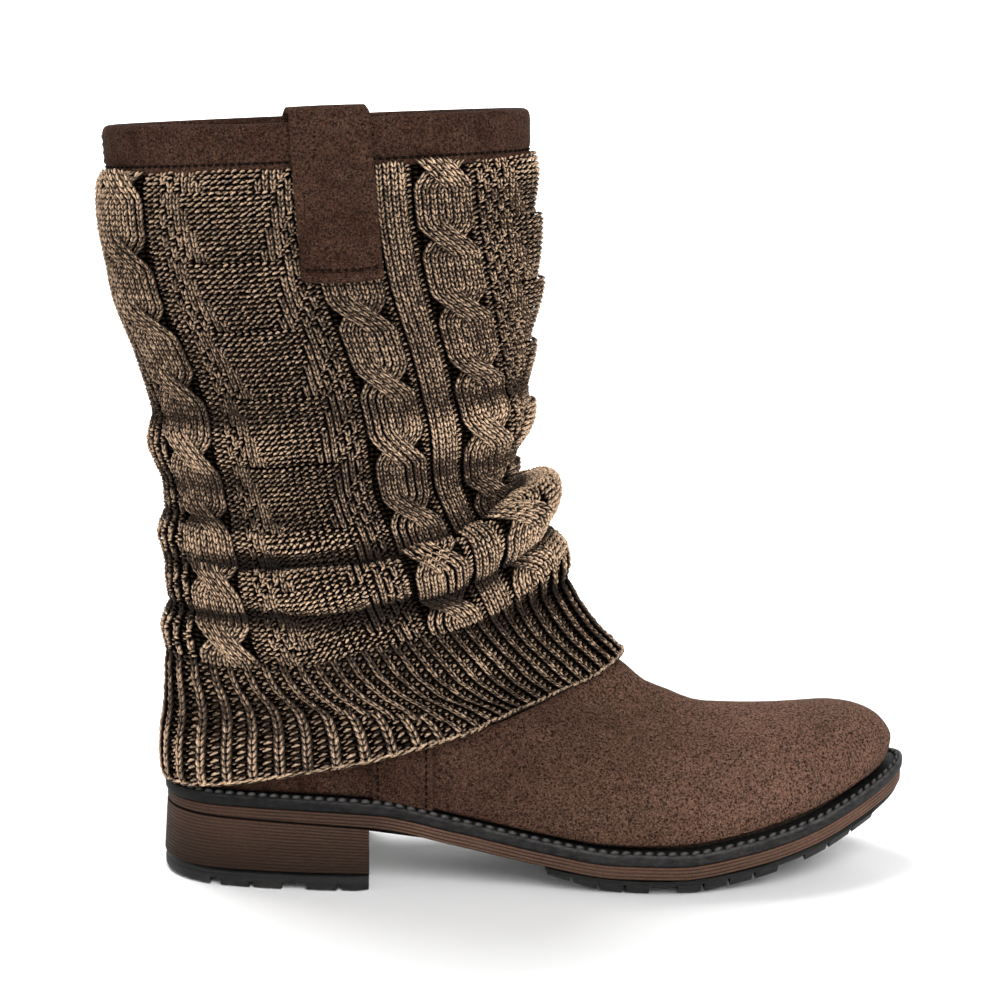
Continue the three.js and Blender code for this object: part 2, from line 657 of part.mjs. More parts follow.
// Rolled folds of the slouched sleeve. back and front are the heights of each fold's crest as shares
// of SHAFT_HEIGHT, turn says how late it climbs to the front, the three depths are shares of
// FOLD_DEPTH at the back, sides and front, and width is a share of SHAFT_HEIGHT.
const FOLDS = [
  { back: 0.395, front: 0.479, turn: 3, atBack: 0.15, atSide: 0.75, atFront: 1.2, width: 0.03 },
  { back: 0.33, front: 0.418, turn: 2, atBack: 0.35, atSide: 0.1, atFront: 0.6, width: 0.026 },
  { back: 0.45, front: 0.47, turn: 1, atBack: 0.4, atSide: 0.05, atFront: 0, width: 0.03 },
  { back: 0.575, front: 0.61, turn: 1, atBack: 0.45, atSide: 0.15, atFront: 0.4, width: 0.035 },
  { back: 0.88, front: 0.8, turn: 1, atBack: 0.3, atSide: 0.05, atFront: 0.15, width: 0.07 },
];
const foldDepths = FOLDS.map((f) => curve([0, 0.5, 1], [f.atBack, f.atSide, f.atFront]));

function foldOut(angle, height) {
  const along = alongAt(angle);
  return FOLDS.reduce((sum, fold, i) => {
    const crest = mix(fold.back, fold.front, along ** fold.turn) * SHAFT_HEIGHT;
    const away = (height - crest) / (fold.width * SHAFT_HEIGHT);
    return sum + FOLD_DEPTH * foldDepths[i](along) * Math.exp(-away * away);
  }, 0);
}

const CUFF_SHARE = 0.17; // of the sleeve's height, the ribbed cuff
const SLOUCH_SHARE = 0.45; // where the folded courses end
const FOLDED_COURSES = 7;
const OPEN_COURSES = 9;
const LINING_COURSES = [1, 0.87, 0.74, 0.62, 0.5, 0.41, 0.34, 0.27, 0.2, 0.13, 0.06, 0];

// Panels of the knit between the back, 0, and the front, 1, the same on both sides of the boot.
const PANELS = [
  { from: 0.05, to: 0.21, kind: 'cable' },
  { from: 0.5, to: 0.61, kind: 'cable' },
  { from: 0.62, to: 0.69, kind: 'plain' },
  { from: 0.71, to: 0.85, kind: 'cable' },
];

// Main courses from the hem, 0, to the collar band, 1: how high each lies, how far the ribs stand
// out there, and how often a cable's strands have crossed by then.
function mainCourses() {
  const cuff = [
    { up: 0, rib: 0.7, crossed: 0 },
    { up: 0.06, rib: 1, crossed: 0 },
    { up: 0.14, rib: 1, crossed: 0 },
    { up: CUFF_SHARE, rib: 0, crossed: 0 },
  ];
  const slouch = steps(FOLDED_COURSES).slice(1).map((share) => mix(CUFF_SHARE, SLOUCH_SHARE, share));
  const open = steps(OPEN_COURSES).slice(1).map((share) => mix(SLOUCH_SHARE, 1, share));
  const pattern = [...slouch, ...open].map((up, i) => ({ up, rib: 0, crossed: (i + 1) / 2 }));
  return [...cuff, ...pattern];
}

// Relief of a rope of two strands: a round back with a groove that crosses it again and again.
const GROOVE_SHARE = 0.35; // width of the groove in the rope's
const GROOVE_CUT = 0.6; // how much of the relief the groove takes away

function rope(acrossShare, crossed) {
  const q = 2 * acrossShare - 1;
  const groove = 1 - 2 * (crossed - Math.floor(crossed));
  const away = (q - groove) / GROOVE_SHARE;
  return Math.sqrt(1 - q * q) * (1 - GROOVE_CUT * Math.exp(-away * away));
}

function knitRelief(turn, course) {
  if (course.rib > 0) {
    return RIB_RELIEF * course.rib * (0.5 + 0.5 * Math.cos(2 * Math.PI * RIB_COUNT * turn));
  }
  const share = turn < 0.5 ? 2 * turn : 2 - 2 * turn;
  const panel = PANELS.find(({ from, to }) => share > from && share < to);
  if (!panel || course.crossed === 0) return 0;
  if (panel.kind === 'plain') return 0.3 * CABLE_RELIEF;
  return CABLE_RELIEF * rope((share - panel.from) / (panel.to - panel.from), course.crossed);
}

// Angles that stand evenly along the ankle's ring, as the ribs do.
function evenlySpaced(count) {
  const fine = 720;
  const section = sectionAt(FOOT.length - 1);
  const points = evenAngles(fine).map((angle) => pointOn(section, angle));
  const walked = [0];
  points.forEach((p, i) => walked.push(walked[i] + p.distanceTo(points[(i + 1) % fine])));
  return steps(count).slice(0, count).map((share) => {
    const goal = share * walked[fine];
    let i = 0;
    while (walked[i + 1] < goal) i += 1;
    return (2 * Math.PI * (i + (goal - walked[i]) / (walked[i + 1] - walked[i]))) / fine;
  });
}

// How much the pull strap presses the knit flat at a point of the outer side.
function pressed(point) {
  const beside = Math.abs(point.x - STRAP_CENTRE - STRAP_LEAN / 2) - STRAP_WIDTH / 2;
  const below = SHAFT_HEIGHT - STRAP_DROP - point.z;
  const outside = point.y < 0 ? Math.max(beside, below) : Infinity;
  return clamp(1 - outside / STRAP_PRESS, 0, 1);
}

// How far the sleeve's lining stands off the upper: it clears the side strip and follows the folds.
const CLEAR_BESIDE = 0.3; // of the strip's width, kept clear beside it before the lining slopes back

function sleeveLining(angle, height) {
  const bare = ringPoint(angle, height, 0);
  const strip = STRIP_FRONT - STRIP_WIDTH / 2;
  const beside = Math.max(Math.abs(bare.x - strip) - STRIP_WIDTH / 2, 0) / STRIP_WIDTH;
  const above = Math.max(height - weltTop(strip) - STRIP_HEIGHT, 0) / STRIP_WIDTH;
  const near = bare.y < 0 ? clamp(1 + CLEAR_BESIDE - Math.max(beside, above), 0, 1) : 0;
  return SLEEVE_EASE + near * (STRIP_THICKNESS + STRIP_SEAT) + foldOut(angle, height);
}

function knitRing(angles, course) {
  return angles.map((angle, i) => {
    const height = mix(hemHeight(angle), sleeveTop(angle), course.up);
    const lining = sleeveLining(angle, height);
    const free = 1 - pressed(ringPoint(angle, height, 0));
    const raised = SLACK * Math.sin(Math.PI * course.up) + knitRelief(i / angles.length, course);
    return ringPoint(angle, height, lining + SLEEVE_WALL + free * raised);
  });
}

function liningRing(angles, up) {
  return angles.map((angle) => {
    const height = mix(hemHeight(angle), sleeveTop(angle), up);
    return ringPoint(angle, height, sleeveLining(angle, height));
  });
}

function knitSleeve() {
  const ribs = evenlySpaced(2 * RIB_COUNT);
  const coarse = ribs.filter((_, i) => i % 2 === 0);
  const outside = mainCourses().map((course) => knitRing(ribs, course));
  const lining = LINING_COURSES.map((up) => liningRing(coarse, up));
  return tubeSolid([...outside, ...lining]);
}

// The collar band: folded over the shaft's rim, longer outside than inside.
function bandRing(drop, offset) {
  return evenAngles(UPPER_AROUND).map((angle) => {
    if (drop >= 0) return ringPoint(angle, collarHeight(angle) - drop, offset);
    const rim = upperPoint(TOP, angle, offset);
    rim.z = collarHeight(angle) - drop;
    return rim;
  });
}

function collarBand() {
  const outer = FIT + BAND_THICKNESS;
  const inner = -WALL - FIT - BAND_THICKNESS;
  const crown = -FIT - BAND_THICKNESS;
  return tubeSolid([
    bandRing(BAND_HEIGHT, FIT),
    bandRing(BAND_HEIGHT, outer),
    bandRing(0, outer),
    bandRing(crown, outer - 0.5 * BAND_THICKNESS),
    bandRing(crown, inner + 0.5 * BAND_THICKNESS),
    bandRing(0, inner),
    bandRing(BAND_INSIDE, inner),
    bandRing(BAND_INSIDE, inner + BAND_THICKNESS),
    bandRing(-FIT, inner + BAND_THICKNESS),
    bandRing(-FIT, FIT),
  ]);
}

// The pull strap's route over the collar, on its inner face: drop below the collar's rim and
// distance outside the upper.
function strapRoute() {
  const onKnit = SLEEVE_EASE + SLEEVE_WALL + 2 * FIT;
  const onBand = FIT + BAND_THICKNESS + FIT;
  const inside = -WALL - FIT - BAND_THICKNESS - FIT;
  const onLining = -WALL - 4 * FIT;
  const crown = -FIT - BAND_THICKNESS - STRAP_RISE;
  return [
    { drop: STRAP_DROP, out: onKnit + STRAP_LIFT },
    { drop: 0.8 * STRAP_DROP, out: onKnit + 0.7 * STRAP_LIFT },
    { drop: 0.6 * STRAP_DROP, out: onKnit + FIT },
    { drop: 0.4 * STRAP_DROP, out: onKnit + FIT },
    { drop: 1.07 * BAND_HEIGHT, out: onKnit + FIT },
    { drop: 0.6 * BAND_HEIGHT, out: mix(onKnit, onBand, 0.6) },
    { drop: 0.25 * BAND_HEIGHT, out: onBand },
    { drop: -0.3 * STRAP_RISE, out: onBand },
    { drop: 0.6 * crown, out: mix(onBand, inside, 0.1) },
    { drop: crown, out: mix(onBand, inside, 0.33) },
    { drop: crown, out: mix(onBand, inside, 0.67) },
    { drop: 0.6 * crown, out: mix(onBand, inside, 0.9) },
    { drop: -0.3 * STRAP_RISE, out: inside },
    { drop: BAND_INSIDE, out: inside },
    { drop: 1.45 * BAND_INSIDE, out: mix(inside, onLining, 0.6) },
    { drop: mix(BAND_INSIDE, STRAP_INSIDE, 0.5), out: onLining },
    { drop: STRAP_INSIDE, out: onLining },
  ];
}

function pullStrap() {
  const route = strapRoute();
  const places = steps(4);
  const facePoint = (drop, out, place) => {
    const lean = STRAP_LEAN * clamp(drop / STRAP_DROP, 0, 1);
    const x = STRAP_CENTRE + lean + STRAP_WIDTH * (place - 0.5);
    const rim = pointOn(collarSection, angleAt(collarSection, x, OUTER)).z;
    return sidePoint(x, rim - drop, out);
  };
  const rings = route.map(({ drop, out }, i) => {
    const before = route[Math.max(i - 1, 0)];
    const after = route[Math.min(i + 1, route.length - 1)];
    const run = new THREE.Vector2(before.drop - after.drop, after.out - before.out).normalize();
    const outer = { drop: drop + STRAP_THICKNESS * run.y, out: out + STRAP_THICKNESS * run.x };
    const inner = places.map((place) => facePoint(drop, out, place));
    const cover = places.map((place) => facePoint(outer.drop, outer.out, place));
    return [...inner, ...cover.reverse()];
  });
  return stackSolid(rings, true);
}

// Materials.
function finish(color, roughness) {
  return new THREE.MeshStandardMaterial({ color, roughness, metalness: 0 });
}
const suede = () => finish(0x4e372d, 0.95);
const yarn = () => finish(0x5b4838, 1);

const boot = new THREE.Group();
function add(name, geometry, material) {
  const mesh = new THREE.Mesh(geometry, material);
  mesh.name = name;
  boot.add(mesh);
}
add('upper', upper(), suede());
add('insole', insole(), finish(0x3d2f27, 0.9));
add('welt', welt(), finish(0x221f1e, 0.7));
add('midsole', midsole(), finish(0x483326, 0.75));
add('heel_block', heelBlock(), finish(0x483326, 0.75));
add('top_lift', topLift(), finish(0x1b1a1a, 0.8));
add('outsole', outsole(), finish(0x1b1a1a, 0.8));
add('side_strip', sideStrip(), suede());
add('knit_sleeve', knitSleeve(), yarn());
add('collar_band', collarBand(), suede());
add('pull_strap', pullStrap(), suede());

// The origin is the middle of the heel's rest on the floor.
boot.position.x = -HEEL_REST;
const part = new THREE.Group();
part.add(boot);

export default part;
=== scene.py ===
import bpy
import numpy as np
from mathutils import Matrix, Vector
from mathutils.bvhtree import BVHTree


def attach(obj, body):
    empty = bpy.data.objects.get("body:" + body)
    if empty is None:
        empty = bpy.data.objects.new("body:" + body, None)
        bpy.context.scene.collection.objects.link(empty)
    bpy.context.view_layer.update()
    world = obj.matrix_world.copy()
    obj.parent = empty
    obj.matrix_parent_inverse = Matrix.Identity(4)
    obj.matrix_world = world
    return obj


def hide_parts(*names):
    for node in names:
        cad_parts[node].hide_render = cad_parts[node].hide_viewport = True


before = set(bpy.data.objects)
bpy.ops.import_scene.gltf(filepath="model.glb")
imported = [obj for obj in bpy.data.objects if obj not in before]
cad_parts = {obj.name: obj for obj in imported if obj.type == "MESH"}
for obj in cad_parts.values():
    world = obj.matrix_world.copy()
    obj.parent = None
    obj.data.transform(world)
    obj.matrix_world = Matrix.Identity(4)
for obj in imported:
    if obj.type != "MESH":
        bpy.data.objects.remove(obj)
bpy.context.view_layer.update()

bl_info = {
    "name": "Cable-knit mid-calf boot",
    "version": (1, 0, 0),
    "blender": (4, 5, 0),
    "location": "View3D > Sidebar > Boot",
    "description": "Dresses the boot's frame: suede foot, knitted sleeve, welted sole and stage",
    "category": "Add Mesh",
}

MM = 0.001

# Named sizes of the boot, which the frame's solids follow.
LENGTH = 279.5
BALL_WIDTH = 95
HEEL_WIDTH = 66
WAIST_WIDTH = 72
HEEL_HEIGHT = 34.5
TOE_SPRING = 22
SHAFT_HEIGHT = 279.8
COLLAR_DROP = 6
COLLAR_LENGTH = 149.5
COLLAR_WIDTH = 78
COLLAR_BACK = -15
INSTEP_HEIGHT = 78
TOE_HEIGHT = 59.5
BALL_HEIGHT = 16.5
FIT = 0.3
LEDGE = 4.7
WALL = 2.2
WELT_THICKNESS = 4.4
WELT_RIM = 9
STRIP_WIDTH = 22
STRIP_FRONT = 101
STRIP_STAND = 2.05
STRIP_HEIGHT = 36
SLEEVE_WALL = 3.2
SLEEVE_EASE = 0.8
SLACK = 0.6
FOLD_DEPTH = 9
HEM_FRONT = 169.7
HEM_SAG = 6
BAND_HEIGHT = 15
BAND_INSIDE = 9
STRAP_WIDTH = 27
STRAP_DROP = 54.5
STRAP_INSIDE = 34
STRAP_THICKNESS = 2
STRAP_LIFT = 1.3
STRAP_CENTRE = 66.2
STRAP_LEAN = 4
HEEL_REST = 38


# Shape of the boot: smooth curves through short tables, and the surface that they span.

def tangents_of(knots, values):
    """Slopes at the knots of curves that don't overshoot. The last axis runs over the knots."""
    slopes = np.diff(values) / np.diff(knots)
    before, after = slopes[..., :-1], slopes[..., 1:]
    same_way = before * after > 0
    inner = np.where(same_way, 2 * before * after / np.where(same_way, before + after, 1), 0)
    return np.concatenate([slopes[..., :1], inner, slopes[..., -1:]], axis=-1)


def ease_between(knots, values, tangents, x):
    """The curves' values at x, where values and tangents end in an axis over the knots."""
    x = np.clip(x, knots[0], knots[-1])
    i = np.clip(np.searchsorted(knots, x, side="right") - 1, 0, len(knots) - 2)
    h = np.diff(knots)[i]
    s = (x - knots[i]) / h

    def pick(table, j):
        if table.ndim == 1:
            return table[j]
        return np.take_along_axis(table, j[..., None], axis=-1)[..., 0]

    a, b = pick(values, i), pick(values, i + 1)
    start, end = pick(tangents, i), pick(tangents, i + 1)
    rise = a * (1 + 2 * s) * (1 - s) ** 2 + b * s * s * (3 - 2 * s)
    return rise + h * s * (1 - s) * (start * (1 - s) - end * s)


class Curve:
    """A smooth curve through a table of places and values."""

    def __init__(self, places, values):
        self.places = np.array(places, float)
        self.values = np.array(values, float)
        self.tangents = tangents_of(self.places, self.values)

    def __call__(self, x):
        return ease_between(self.places, self.values, self.tangents, np.asarray(x, float))


def mix(a, b, t):
    return a + (b - a) * t


def along_at(angle):
    """0 at the back of a ring and 1 at its front."""
    return (1 - np.cos(angle)) / 2


PROFILE_AT = [0, 0.14, 0.28, 0.39, 0.5, 0.6, 0.68, 0.77, 0.86, 0.93, 1]
heel_lift = Curve(PROFILE_AT, [1.02, 1, 0.915, 0.57, 0.2, 0, 0, 0, 0, 0, 0])
toe_lift = Curve(PROFILE_AT, [0, 0, 0, 0, 0, 0, 0, 0.15, 0.4, 0.7, 1.03])


def welt_top(x):
    at = np.clip(np.asarray(x, float) / LENGTH, 0, 1)
    return BALL_HEIGHT + heel_lift(at) * (HEEL_HEIGHT - BALL_HEIGHT) + toe_lift(at) * TOE_SPRING


STATION_AT = np.array([0, 0.13, 0.45, 0.7, 0.86, 1])
STATION_HALF = np.array([
    0.985 * HEEL_WIDTH, 0.735 * HEEL_WIDTH, 0.5 * WAIST_WIDTH,
    0.545 * BALL_WIDTH, 0.585 * BALL_WIDTH, 0.547 * BALL_WIDTH,
])
plan_half = Curve(STATION_AT, STATION_HALF)
bend_share = Curve(
    [0, 0.15, 0.3, 0.5, 0.66, 0.8, 0.9, 1],
    [0, 0, -0.016, -0.053, -0.026, 0.002, 0.037, 0.079],
)


def middle(x):
    return bend_share(np.clip(np.asarray(x, float) / LENGTH, 0, 1)) * BALL_WIDTH


def plan_point(angle):
    along = along_at(angle)
    x = LENGTH * along
    return np.stack([x, middle(x) + plan_half(along) * np.sin(angle)], axis=-1)


def inset_point(angle, inset):
    """The sole's outline, set in from its edge."""
    step = 0.01
    run = plan_point(angle + step) - plan_point(angle - step)
    run /= np.linalg.norm(run, axis=-1, keepdims=True)
    inwards = np.stack([run[..., 1], -run[..., 0]], axis=-1)
    return plan_point(angle) + inset * inwards


# Foot sections: back and front of LENGTH, rise of INSTEP_HEIGHT, toe and instep for the front's
# height, follow for how much of the sole's profile is kept, then the widths at the six stations.
FOOT = [
    (0.0136, 0, 0.978, 0, 0, 1, 1, 1, 1, 1, 1, 1),
    (0.01, 0.125, 0.979, 0.3, 0, 1, 1.03, 1.035, 1.05, 1.03, 1.025, 1.02),
    (0.012, 0.225, 0.966, 0.59, 0, 0.95, 1.03, 1.035, 1.06, 1.005, 0.98, 0.97),
    (0.017, 0.315, 0.938, 0.855, 0, 0.9, 1.01, 1.01, 1.06, 0.92, 0.86, 0.89),
    (0.02, 0.4, 0.894, 1, 0, 0.75, 1, 0.99, 1.05, 0.8, 0.68, 0.7),
    (0.0215, 0.48, 0.819, 0.904, 0, 0.55, 1, 0.975, 1.035, 0.665, 0.51, 0.49),
    (0.023, 0.555, 0.723, 1, 0.02, 0.4, 1, 0.965, 1.03, 0.6, 0.45, 0.42),
    (0.0243, 0.63, 0.658, 1, 0.41, 0.3, 0.96, 0.95, 1.03, 0.59, 0.45, 0.42),
    (0.0257, 0.72, 0.61, 1, 0.95, 0.2, 0.93, 0.94, 1.05, 0.61, 0.49, 0.46),
    (0.027, 0.82, 0.5635, 1, 1.62, 0.1, 0.86, 0.93, 1.065, 0.64, 0.55, 0.55),
    (0.027, 0.97, 0.526, 1, 2.5, 0, 0.76, 0.905, 1.08, 0.685, 0.635, 0.635),
]
# Shaft sections: rise of SHAFT_HEIGHT, back and front of COLLAR_LENGTH, drop of COLLAR_DROP, width.
SHAFT = [
    (0.46, 0.148, 1.017, 0.2, 0.9),
    (0.541, 0.14, 0.953, 0.3, 0.92),
    (0.61, 0.127, 0.968, 0.4, 0.935),
    (0.7, 0.084, 0.988, 0.5, 0.96),
    (0.806, 0.02, 0.999, 0.6, 0.985),
    (0.91, 0.011, 1, 0.8, 1),
    (1, 0, 1, 1, 1),
]


def foot_section(back, rise, front, toe, instep, follow, *widths):
    tip = float(welt_top(LENGTH)) + FIT
    front_z = tip + toe * (TOE_HEIGHT - tip) + instep * (INSTEP_HEIGHT - TOE_HEIGHT)
    back_z = float(welt_top(0)) + FIT + rise * INSTEP_HEIGHT
    spread = 2 * np.sqrt(STATION_AT * (1 - STATION_AT))
    seat = STATION_HALF - LEDGE / np.where(spread > 0, spread, 1)
    return [back * LENGTH, front * LENGTH, back_z, front_z, follow, *(np.array(widths) * seat)]


def shaft_section(rise, back, front, drop, width):
    front_z = rise * SHAFT_HEIGHT
    ends = [COLLAR_BACK + back * COLLAR_LENGTH, COLLAR_BACK + front * COLLAR_LENGTH]
    return [*ends, front_z - drop * COLLAR_DROP, front_z, 0, *([0.5 * width * COLLAR_WIDTH] * 6)]


SECTIONS = np.array([foot_section(*row) for row in FOOT] + [shaft_section(*row) for row in SHAFT])
TOP = len(SECTIONS) - 1
LEVELS = np.arange(TOP + 1, dtype=float)
SECTION_CURVES = [Curve(LEVELS, SECTIONS[:, k]) for k in range(SECTIONS.shape[1])]


def bare_point(level, angle):
    """A point on the upper's outside, at a level from 0 on the welt to TOP at the collar."""
    back, front, back_z, front_z, follow = (curve(level) for curve in SECTION_CURVES[:5])
    halves = np.stack([curve(level) for curve in SECTION_CURVES[5:]], axis=-1)
    along = along_at(angle)
    x = mix(back, front, along)
    chord = mix(welt_top(back), welt_top(front), along)
    z = mix(back_z, front_z, along) + follow * (welt_top(x) - chord)
    half = ease_between(STATION_AT, halves, tangents_of(STATION_AT, halves), along)
    return np.stack([x, follow * middle(x) + half * np.sin(angle), z], axis=-1)


def unit(v):
    return v / np.maximum(np.linalg.norm(v, axis=-1, keepdims=True), 1e-12)


def upper_normal(level, angle):
    step = 0.02
    above, below = np.minimum(level + step, TOP), np.maximum(level - step, 0)
    up = bare_point(above, angle) - bare_point(below, angle)
    around = bare_point(level, angle + step) - bare_point(level, angle - step)
    return unit(np.cross(up, around))


def upper_point(level, angle, offset):
    return bare_point(level, angle) + upper_normal(level, angle) * np.asarray(offset)[..., None]


def level_where(is_below, shape):
    """The levels at which the surface leaves what lies below a line, found by halving."""
    low, high = np.zeros(shape), np.full(shape, float(TOP))
    for _ in range(20):
        half = (low + high) / 2
        below = is_below(half)
        low, high = np.where(below, half, low), np.where(below, high, half)
    return (low + high) / 2


def level_at(angle, height):
    return level_where(lambda level: bare_point(level, angle)[..., 2] < height, np.shape(angle))


def side_angle(level, x):
    """The angle on the outer side at which a ring passes a place along the boot."""
    back, front = SECTION_CURVES[0](level), SECTION_CURVES[1](level)
    return 2 * np.pi - np.arccos(1 - 2 * np.clip((x - back) / (front - back), 0, 1))


def side_point(x, height, offset):
    """A point of the outer side. Above the collar it rises straight up."""
    def below(level):
        return bare_point(level, side_angle(level, x))[..., 2] < height

    level = level_where(below, np.broadcast(x, height).shape)
    angle = side_angle(level, x)
    over = np.maximum(height - bare_point(np.full(level.shape, float(TOP)), angle)[..., 2], 0)
    return upper_point(level, angle, offset) + over[..., None] * (0, 0, 1)


def ring_point(angle, drop, offset):
    """A point near the collar, at a drop below its rim. Above the rim it rises straight up."""
    rim = collar_height(angle)
    level = np.where(drop > 0, level_at(angle, rim - np.maximum(drop, 0)), float(TOP))
    return upper_point(level, angle, offset) + np.maximum(-drop, 0)[..., None] * (0, 0, 1)


def collar_height(angle):
    return bare_point(np.full(np.shape(angle), float(TOP)), angle)[..., 2]


def hem_line(x):
    share = x / HEM_FRONT
    sag = HEM_SAG * 4 * share * np.maximum(1 - share, 0)
    return mix(float(welt_top(0)) + 2 * FIT, INSTEP_HEIGHT, share) - sag


def hem_height(angle):
    def below(level):
        point = bare_point(level, angle)
        return point[..., 2] < hem_line(point[..., 0])

    return bare_point(level_where(below, np.shape(angle)), angle)[..., 2]


def to_frame(points):
    """Boot coordinates in millimetres to the frame's metres."""
    return (np.asarray(points) - (HEEL_REST, 0, 0)) * MM


# Making meshes.

def deselect_all():
    if bpy.context.object and bpy.context.object.mode != "OBJECT":
        bpy.ops.object.mode_set(mode="OBJECT")
    bpy.ops.object.select_all(action="DESELECT")


def pick(piece):
    deselect_all()
    piece.select_set(True)
    bpy.context.view_layer.objects.active = piece


def mesh_piece(name, points, faces):
    """A new object from points in the frame's metres and faces that all have as many corners."""
    mesh = bpy.data.meshes.new(name)
    faces = np.asarray(faces)
    points = np.asarray(points, np.float32)
    mesh.vertices.add(len(points))
    mesh.vertices.foreach_set("co", points.ravel())
    corners = faces.shape[1]
    mesh.loops.add(faces.size)
    mesh.loops.foreach_set("vertex_index", faces.astype(np.int32).ravel())
    mesh.polygons.add(len(faces))
    mesh.polygons.foreach_set("loop_start", np.arange(0, faces.size, corners, dtype=np.int32))
    mesh.polygons.foreach_set("use_smooth", np.ones(len(faces), bool))
    mesh.update(calc_edges=True)
    mesh.validate()
    piece = bpy.data.objects.new(name, mesh)
    bpy.context.scene.collection.objects.link(piece)
    return piece


def tube_piece(name, rings, closed=True):
    """A piece from rings of points in boot millimetres. An open tube's ends get faces."""
    rows, around = rings.shape[:2]
    index = np.arange(rows * around).reshape(rows, around)
    ahead = np.roll(index, -1, axis=0)
    if not closed:
        index, ahead = index[:-1], ahead[:-1]
    quads = np.stack([index, np.roll(index, -1, 1), np.roll(ahead, -1, 1), ahead], axis=-1)
    piece = mesh_piece(name, to_frame(rings).reshape(-1, 3), quads.reshape(-1, 4))
    pick(piece)
    bpy.ops.object.mode_set(mode="EDIT")
    if not closed:
        bpy.ops.mesh.select_all(action="DESELECT")
        bpy.ops.mesh.select_non_manifold()
        bpy.ops.mesh.edge_face_add()
    bpy.ops.mesh.select_all(action="SELECT")
    bpy.ops.mesh.normals_make_consistent(inside=False)
    bpy.ops.object.mode_set(mode="OBJECT")
    return piece


def copy_of(node, name):
    """A copy of a solid's mesh with its corners merged and its faces joined into quads."""
    piece = bpy.data.objects.new(name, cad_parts[node].data.copy())
    bpy.context.scene.collection.objects.link(piece)
    pick(piece)
    bpy.ops.object.mode_set(mode="EDIT")
    bpy.ops.mesh.select_all(action="SELECT")
    bpy.ops.mesh.remove_doubles(threshold=1e-6)
    bpy.ops.mesh.customdata_custom_splitnormals_clear()
    bpy.ops.mesh.tris_convert_to_quads(face_threshold=0.7, shape_threshold=0.9)
    bpy.ops.mesh.normals_make_consistent(inside=False)
    bpy.ops.object.mode_set(mode="OBJECT")
    return piece


def round_off(piece, levels, sharp=0.6, hold=0.8):
    """Smooths a piece by subdivision, while edges sharper than an angle keep much of their edge."""
    pick(piece)
    bpy.ops.object.mode_set(mode="EDIT")
    bpy.ops.mesh.select_mode(type="EDGE")
    bpy.ops.mesh.select_all(action="DESELECT")
    bpy.ops.mesh.edges_select_sharp(sharpness=sharp)
    bpy.ops.object.mode_set(mode="OBJECT")
    mesh = piece.data
    chosen_edges = np.zeros(len(mesh.edges), bool)
    mesh.edges.foreach_get("select", chosen_edges)
    crease = mesh.attributes.new("crease_edge", "FLOAT", "EDGE")
    crease.data.foreach_set("value", np.where(chosen_edges, hold, 0).astype(np.float32))
    smoothing = piece.modifiers.new("rounding", "SUBSURF")
    smoothing.levels = smoothing.render_levels = levels
    bpy.ops.object.modifier_apply(modifier=smoothing.name)
    bpy.ops.object.shade_smooth()


def points_of(piece):
    points = np.empty(3 * len(piece.data.vertices), np.float32)
    piece.data.vertices.foreach_get("co", points)
    return points.reshape(-1, 3).astype(float) / MM + (HEEL_REST, 0, 0)


def move_points(piece, points):
    piece.data.vertices.foreach_set("co", to_frame(points).astype(np.float32).ravel())
    piece.data.update()


def normals_of(piece):
    normals = np.empty(3 * len(piece.data.vertices), np.float32)
    piece.data.vertices.foreach_get("normal", normals)
    return normals.reshape(-1, 3).astype(float)


def point_attribute(piece, name, values):
    attribute = piece.data.attributes.new(name, "FLOAT", "POINT")
    attribute.data.foreach_set("value", np.asarray(values, np.float32).ravel())


def settle(piece, slot, material, *nodes):
    """Gives a finished piece its material and its body, and hides the solids that it stands for."""
    piece.data.materials.clear()
    piece.data.materials.append(material)
    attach(piece, "root")
    if nodes:
        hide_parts(*nodes)


# Materials: shader maths written as Python expressions.

class Value:
    """A socket whose arithmetic adds Math nodes."""

    def __init__(self, paint, socket):
        self.paint = paint
        self.socket = socket

    def math(self, operation, first, second=0.0, clamp=False):
        settings = {"operation": operation, "use_clamp": clamp}
        return self.paint.node("ShaderNodeMath", settings, {0: first, 1: second})

    def __add__(self, other):
        return self.math("ADD", self, other)

    __radd__ = __add__

    def __sub__(self, other):
        return self.math("SUBTRACT", self, other)

    def __rsub__(self, other):
        return self.math("SUBTRACT", other, self)

    def __mul__(self, other):
        return self.math("MULTIPLY", self, other)

    __rmul__ = __mul__

    def above(self, low, high):
        """0 below low, 1 above high, and a straight ramp between."""
        return self.math("MULTIPLY", self - low, 1 / (high - low), clamp=True)

    def wave(self):
        return self.math("SINE", self) * 0.5 + 0.5


